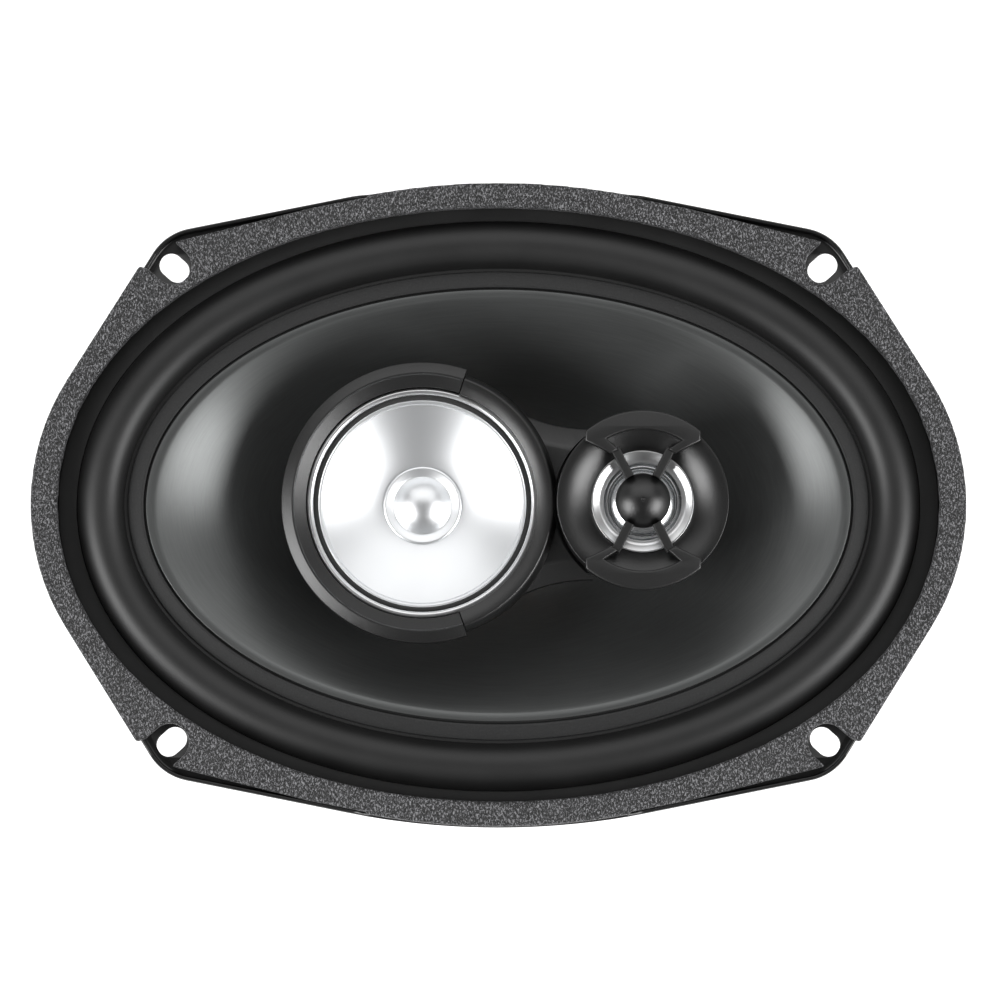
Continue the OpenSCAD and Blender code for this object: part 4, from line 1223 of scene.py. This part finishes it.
def mid_cone_way(r):
    """Height of the midrange cone's face at a radius."""
    k = np.maximum((r - MID_CONE_NECK) / (MID_CONE_R - MID_CONE_NECK), 0)
    return MID_NECK + 6.4 * k ** 1.35


def midrange_cone():
    """Aluminised paper cone with a rolled edge and a shallow step at its neck."""
    r = np.linspace(MID_CONE_NECK, MID_CONE_R - 1.2, 40)
    face = np.stack([r, mid_cone_way(r)], -1)
    edge = rounded([(MID_CONE_R - 1.1, 2.26), (MID_CONE_R - 0.8, 2.44, 0.1), (MID_CONE_R - 0.3, 2.55, 0.25),
                    (MID_CONE_R, 2.35, 0.15), (MID_CONE_R, 2.0, 0.1), (MID_CONE_R - 0.4, 1.6)], closed=False)
    back = face[::-1] - (0, 0.5)
    piece("midrange_silver_cone", lathe(np.vstack([face, edge, back]), MID), SILVER,
          "midrange_cone", "midrange", sharp=50)


def dome(base_r, rise, base_z, steps):
    """Points of a dome's section, from its top down to its base."""
    ball = (base_r ** 2 + rise ** 2) / (2 * rise)
    lean = np.linspace(0, math.asin(base_r / ball), steps + 1)
    return np.stack([ball * np.sin(lean), base_z + rise - ball + ball * np.cos(lean)], -1)


def midrange_dust_cap():
    r, rise, thick = 7.2, 3.4, 0.3
    outer, inner = dome(r, rise, MID_NECK, 24), dome(r - thick, rise - thick, MID_NECK, 24)
    rim = rounded([(r, MID_NECK + 0.02), (7.45, MID_NECK + 0.02, 0.1), (7.8, MID_NECK + 0.2, 0.3),
                   (9.45, MID_NECK + 0.72, 0.5), (9.85, MID_NECK + 0.55, 0.15), (9.85, MID_NECK + 0.1),
                   (9.1, MID_NECK - 0.2), (7, MID_NECK - 0.2)], closed=False)
    profile = np.vstack([outer[:-1], rim, inner[::-1]])
    piece("midrange_centre_dome", lathe(profile, MID), SILVER, "midrange_dust_cap", "midrange",
          sharp=60)


def midrange_surround():
    profile = np.vstack([
        [(24.6, 0.8), (26, 0.8), (26.35, 1.1)], arc((27, 2), 0.6, 180, 20, 10),
        [(27.62, 2.36), (29.2, 2.36), (29.2, 2.02), (27.3, 2.02), (26.6, 0.6), (24.6, 0.4)]])
    obj = piece("midrange_foam_edge", lathe(profile, MID), EDGE, "midrange_surround", None)
    flexing_ring(obj, MID)


def small_motor(part, at, plate, magnet, cup, cup_steps):
    """A pole plate on a magnet, each (radius, bottom, top), in a cup with this section."""
    for name, node, (r, low, high), edge, material, slot in (
            ("_pole", "_pole_plate", plate, 0.2, PLATED, "plated_steel"),
            ("_neodymium", "_magnet", magnet, 0.25, NICKEL, "plated_magnet")):
        disc = rounded([(0, low), (r, low, edge), (r, high, edge), (0, high)])
        piece(part + name, lathe(disc, at, steps=96), material, part + node)
    piece(part + "_cup", lathe(rounded(cup), at, steps=cup_steps), PLATED, part + "_yoke")


def midrange_motor():
    """The voice coil on its former, and the magnet system."""
    low, top, former_r = -12.5, MID_NECK - 0.2, 8.6
    former = [(former_r, low), (former_r + 0.3, low), (former_r + 0.3, top), (former_r, top)]
    winding = box_outline(8.92, 9.4, -12.2, -8.6, 0.1, steps=2)
    coil = joined(lathe(former, MID, steps=120), lathe(winding, MID, steps=120))
    piece("midrange_coil", coil, COPPER, "midrange_voice_coil", "midrange")
    foot, magnet_low, plate_low, plate_top, cup_r = -17, -14.5, -11.5, -9.5, 11.4
    cup = [(0, foot), (cup_r - 0.6, foot, 0.8), (cup_r, foot + 0.6, 0.3), (cup_r, plate_top, 0.2),
           (9.8, plate_top, 0.2), (9.8, magnet_low, 0.3), (0, magnet_low)]
    small_motor("midrange", MID, (8.2, plate_low, plate_top), (7.8, magnet_low, plate_low), cup, 144)


# ---- Tweeter ----

def tweeter_housing():
    """The tweeter's cup, with a flared mouth and a fine rim."""
    k, throat, throat_z, r, rim, bore = np.linspace(0, 1, 30), 13, 8, HOUSING_R, TWEETER_RIM, 10.2
    mouth = np.stack([lerp(throat, r - 0.55, k), throat_z + (rim - throat_z) * (1 - (1 - k) ** 1.95)], -1)
    rest = rounded([
        (r - 0.5, rim), (r - 0.1, rim - 0.02, 0.15), (r, rim - 0.5, 0.2), (r, 0, 1.2), (18.3, -3.4, 1.5),
        (13.4, -8.9, 1.0), (0, -8.9), (0, -6), (bore, -6), (bore, 5), (throat, 5), (throat, throat_z - 0.1)],
        closed=False)
    piece("tweeter_shell", lathe(np.vstack([mouth, rest]), TWEETER), GLOSSY,
          "tweeter_housing", sharp=30)


def tweeter_grille():
    """Two curved plates joined by four flat arms to a round cap in the middle."""
    rim, top = TWEETER_RIM, TWEETER_RIM + 2.4
    r, plate_in = 22.6, 17.9
    outer = np.vstack([arc((0, 0), r, 50.1, 90, 16)[:-1], [(0, r)]])
    inner = arc((0, 0), plate_in, 90, 56.8, 14)
    plate = dropped_repeats(np.vstack([
        [(8.1, 11.7), (14.55, 14.8)], outer, flipped(outer[:-1]), [(-14.55, 14.8), (-8.1, 11.7)],
        [(-6.15, 12.7)], flipped(inner[:-1]), [(0, plate_in)], inner[1:], [(6.15, 12.7)]]))
    curved = slab(plate, rim, top, 0.5, steps=4)
    arm = slab(np.array([(6.0, 13.4), (0.8, 3.4), (2.75, 2.0), (8.0, 12.4)]), rim - 0.9, top - 0.6, 0.35)
    mirrored = arm[0] * (-1, 1, 1), arm[1]
    skirt = rounded([(21.75, 8, 0.1), (22.5, 8, 0.2), (22.5, rim + 0.6, 0.1), (21.75, rim + 0.6)], steps=2)
    skirt = lathe(skirt, turn=(51, 129), steps=70)
    cap_r, cap_low = 6.9, rim - 1.6
    hub_r, hub_low, hub_top = cap_r - 0.5, cap_low + 0.3, cap_low + 1
    shell = lathe([(0, hub_low), (hub_r, hub_low), (hub_r, hub_top), (0, hub_top)], steps=72)
    for turn in (0, 180):
        for part in (curved, skirt, arm, mirrored):
            shell = carved(shell, spun(part, turn), "UNION")
    under_cap = [(0, rim - 0.7), (cap_r - 0.15, rim - 0.7), (cap_r - 0.15, top + 1), (0, top + 1)]
    shell = carved(shell, lathe(under_cap, steps=144))
    piece("tweeter_guard", moved(shell, (*TWEETER, 0)), GRILLE, "tweeter_grille", sharp=25)
    crown = dome(cap_r, 3.5, rim - 0.55, 32)[-1:0:-1]
    dimple = [(0.42, 14.4), (0.36, 14.22), (0.2, 14.08), (0, 14.02)]
    side = [(0, cap_low), (cap_r - 0.2, cap_low), (cap_r, cap_low + 0.2)]
    cap = lathe(np.vstack([side, crown[crown[:, 0] > 0.46], dimple]), steps=144)
    piece("tweeter_guard_cap", moved(cap, (*TWEETER, 0)), GLOSSY)


def tweeter_trim_ring():
    inside, foot, top = 9.8, 5, 8.35
    profile = rounded([
        (inside, foot), (10.2, foot), (10.2, 5.9), (12.9, 7.3, 0.1), (12.92, top, 0.12), (12.5, top, 0.25),
        (10.8, 7.5, 2.6), (inside, 7.5, 0.2), (inside, 6.6)])
    piece("tweeter_bright_ring", lathe(profile, TWEETER), TRIM, "tweeter_trim_ring",
          sharp=60)


def tweeter_surround():
    profile = np.vstack([arc((8.95, 5.6), 0.65, 180, 10, 14), [(9.72, 5.62), (9.75, 5.3), (9.3, 5.3)],
                         arc((8.95, 5.5), 0.35, 0, 180, 12), [(8.3, 5.4)]])
    obj = piece("tweeter_silver_edge", lathe(profile, TWEETER, steps=192), SILVER_DOME,
                "tweeter_surround", None, sharp=60)
    flexing_ring(obj, TWEETER)


def tweeter_inside():
    """The dome, the voice coil and the magnet system."""
    shell = np.vstack([dome(8.2, 2.6, 5.4, 20), dome(8.0, 2.4, 5.3, 20)[::-1]])
    piece("tweeter_silver_dome", lathe(shell, TWEETER, steps=144), SILVER_DOME,
          "tweeter_dome", "tweeter", sharp=60)
    coil = rounded([(7.6, 0.4), (7.9, 0.4, 0.1), (7.9, 5, 0.1), (7.6, 5)])
    piece("tweeter_coil", lathe(coil, TWEETER, steps=120), COPPER, "tweeter_voice_coil",
          "tweeter")
    foot, magnet_low, plate_low, plate_top, cup_r = -5, -2.6, 1.4, 3.2, 10
    cup = [(0, foot), (cup_r - 0.8, foot, 0.4), (cup_r, foot + 0.8, 0.4), (cup_r, plate_top, 0.2),
           (8.3, plate_top, 0.2), (8.3, magnet_low, 0.3), (0, magnet_low)]
    small_motor("tweeter", TWEETER, (7.2, plate_low, plate_top), (6.8, magnet_low, plate_low), cup, 120)


# ---- Build ----

basket()
front_gasket()
surround()
surround_band()
woofer_cone()
spider()
top_plate()
ring_magnet()
back_plate()
centre_post()
basket_rivets()
voice_coil()
lead_anchors()
tinsel_leads()
terminal_board()
terminal_rivets()
terminals()
capacitor("midrange_capacitor", "midrange_capacitor_can")
capacitor("tweeter_capacitor", "tweeter_capacitor_can")
pod_lead()
carried_over("pod_bracket", PLASTIC)
bridge_cover()
bridge_screws()
midrange_bezel()
midrange_chassis()
midrange_trim_ring()
midrange_cone()
midrange_dust_cap()
midrange_surround()
midrange_motor()
tweeter_housing()
tweeter_grille()
tweeter_trim_ring()
tweeter_surround()
tweeter_inside()

# ---- Stage, light and camera ----

TILT = math.radians(5)  # how far below the speaker's axis the camera looks from
DISTANCE = 1.3  # from the camera to the flange
VIEW_W = 0.25375  # width of the view at the flange
AIM = Vector((0.0004, 0.001, FLANGE_TOP * MM))
LAMP_DISTANCE = 0.95


def studio_floor():
    half, z = 3.0, BACK_Z * MM  # the speaker stands on its back plate
    mesh = bpy.data.meshes.new("floor")
    corners = [(-half, -half, z), (half, -half, z), (half, half, z), (-half, half, z)]
    mesh.from_pydata(corners, [], [(0, 1, 2, 3)])
    mesh.materials.append(pale_floor())
    floor = bpy.data.objects.new("floor", mesh)
    bpy.context.scene.collection.objects.link(floor)


def softbox(name, bearing, lift, width, height, power):
    """A rectangular lamp that faces the speaker from a bearing and a lift above its face, in degrees."""
    b, e = math.radians(bearing), math.radians(lift)
    lamp = bpy.data.lights.new(name, "AREA")
    lamp.shape = "RECTANGLE"
    lamp.size, lamp.size_y = width, height
    lamp.energy = power
    obj = bpy.data.objects.new(name, lamp)
    way = Vector((math.cos(e) * math.cos(b), math.cos(e) * math.sin(b), math.sin(e)))
    obj.location = way * LAMP_DISTANCE
    obj.rotation_euler = way.to_track_quat("Z", "Y").to_euler()
    bpy.context.scene.collection.objects.link(obj)


def surroundings():
    """A dim room: pale towards the horizon and dark overhead, by the height of the way looked in."""
    world = bpy.data.worlds.new("studio")
    world.use_nodes = True
    tree = world.node_tree
    parts = add(tree, "SeparateXYZ", Vector=add(tree, "TexCoord").outputs["Generated"]).outputs
    shade = ramp(tree, parts[2], (0.0, 0.85), (0.12, 0.6), (0.45, 0.16), (0.9, 0.09))
    tree.links.new(shade, tree.nodes["Background"].inputs["Color"])
    bpy.context.scene.world = world


def camera():
    data = bpy.data.cameras.new("camera")
    data.sensor_width = 36
    data.lens = data.sensor_width * DISTANCE / VIEW_W
    obj = bpy.data.objects.new("camera", data)
    obj.location = AIM + DISTANCE * Vector((0, -math.sin(TILT), math.cos(TILT)))
    obj.rotation_euler = (TILT, 0, 0)
    bpy.context.scene.collection.objects.link(obj)
    bpy.context.scene.camera = obj


studio_floor()
softbox("left_softbox", bearing=201, lift=37, width=0.6, height=0.5, power=7.5)
softbox("right_softbox", bearing=-19, lift=37, width=0.6, height=0.5, power=7.5)
softbox("top_softbox", bearing=90, lift=50, width=1.4, height=0.8, power=3.8)
surroundings()
camera()
bpy.context.scene.view_settings.view_transform = "Standard"
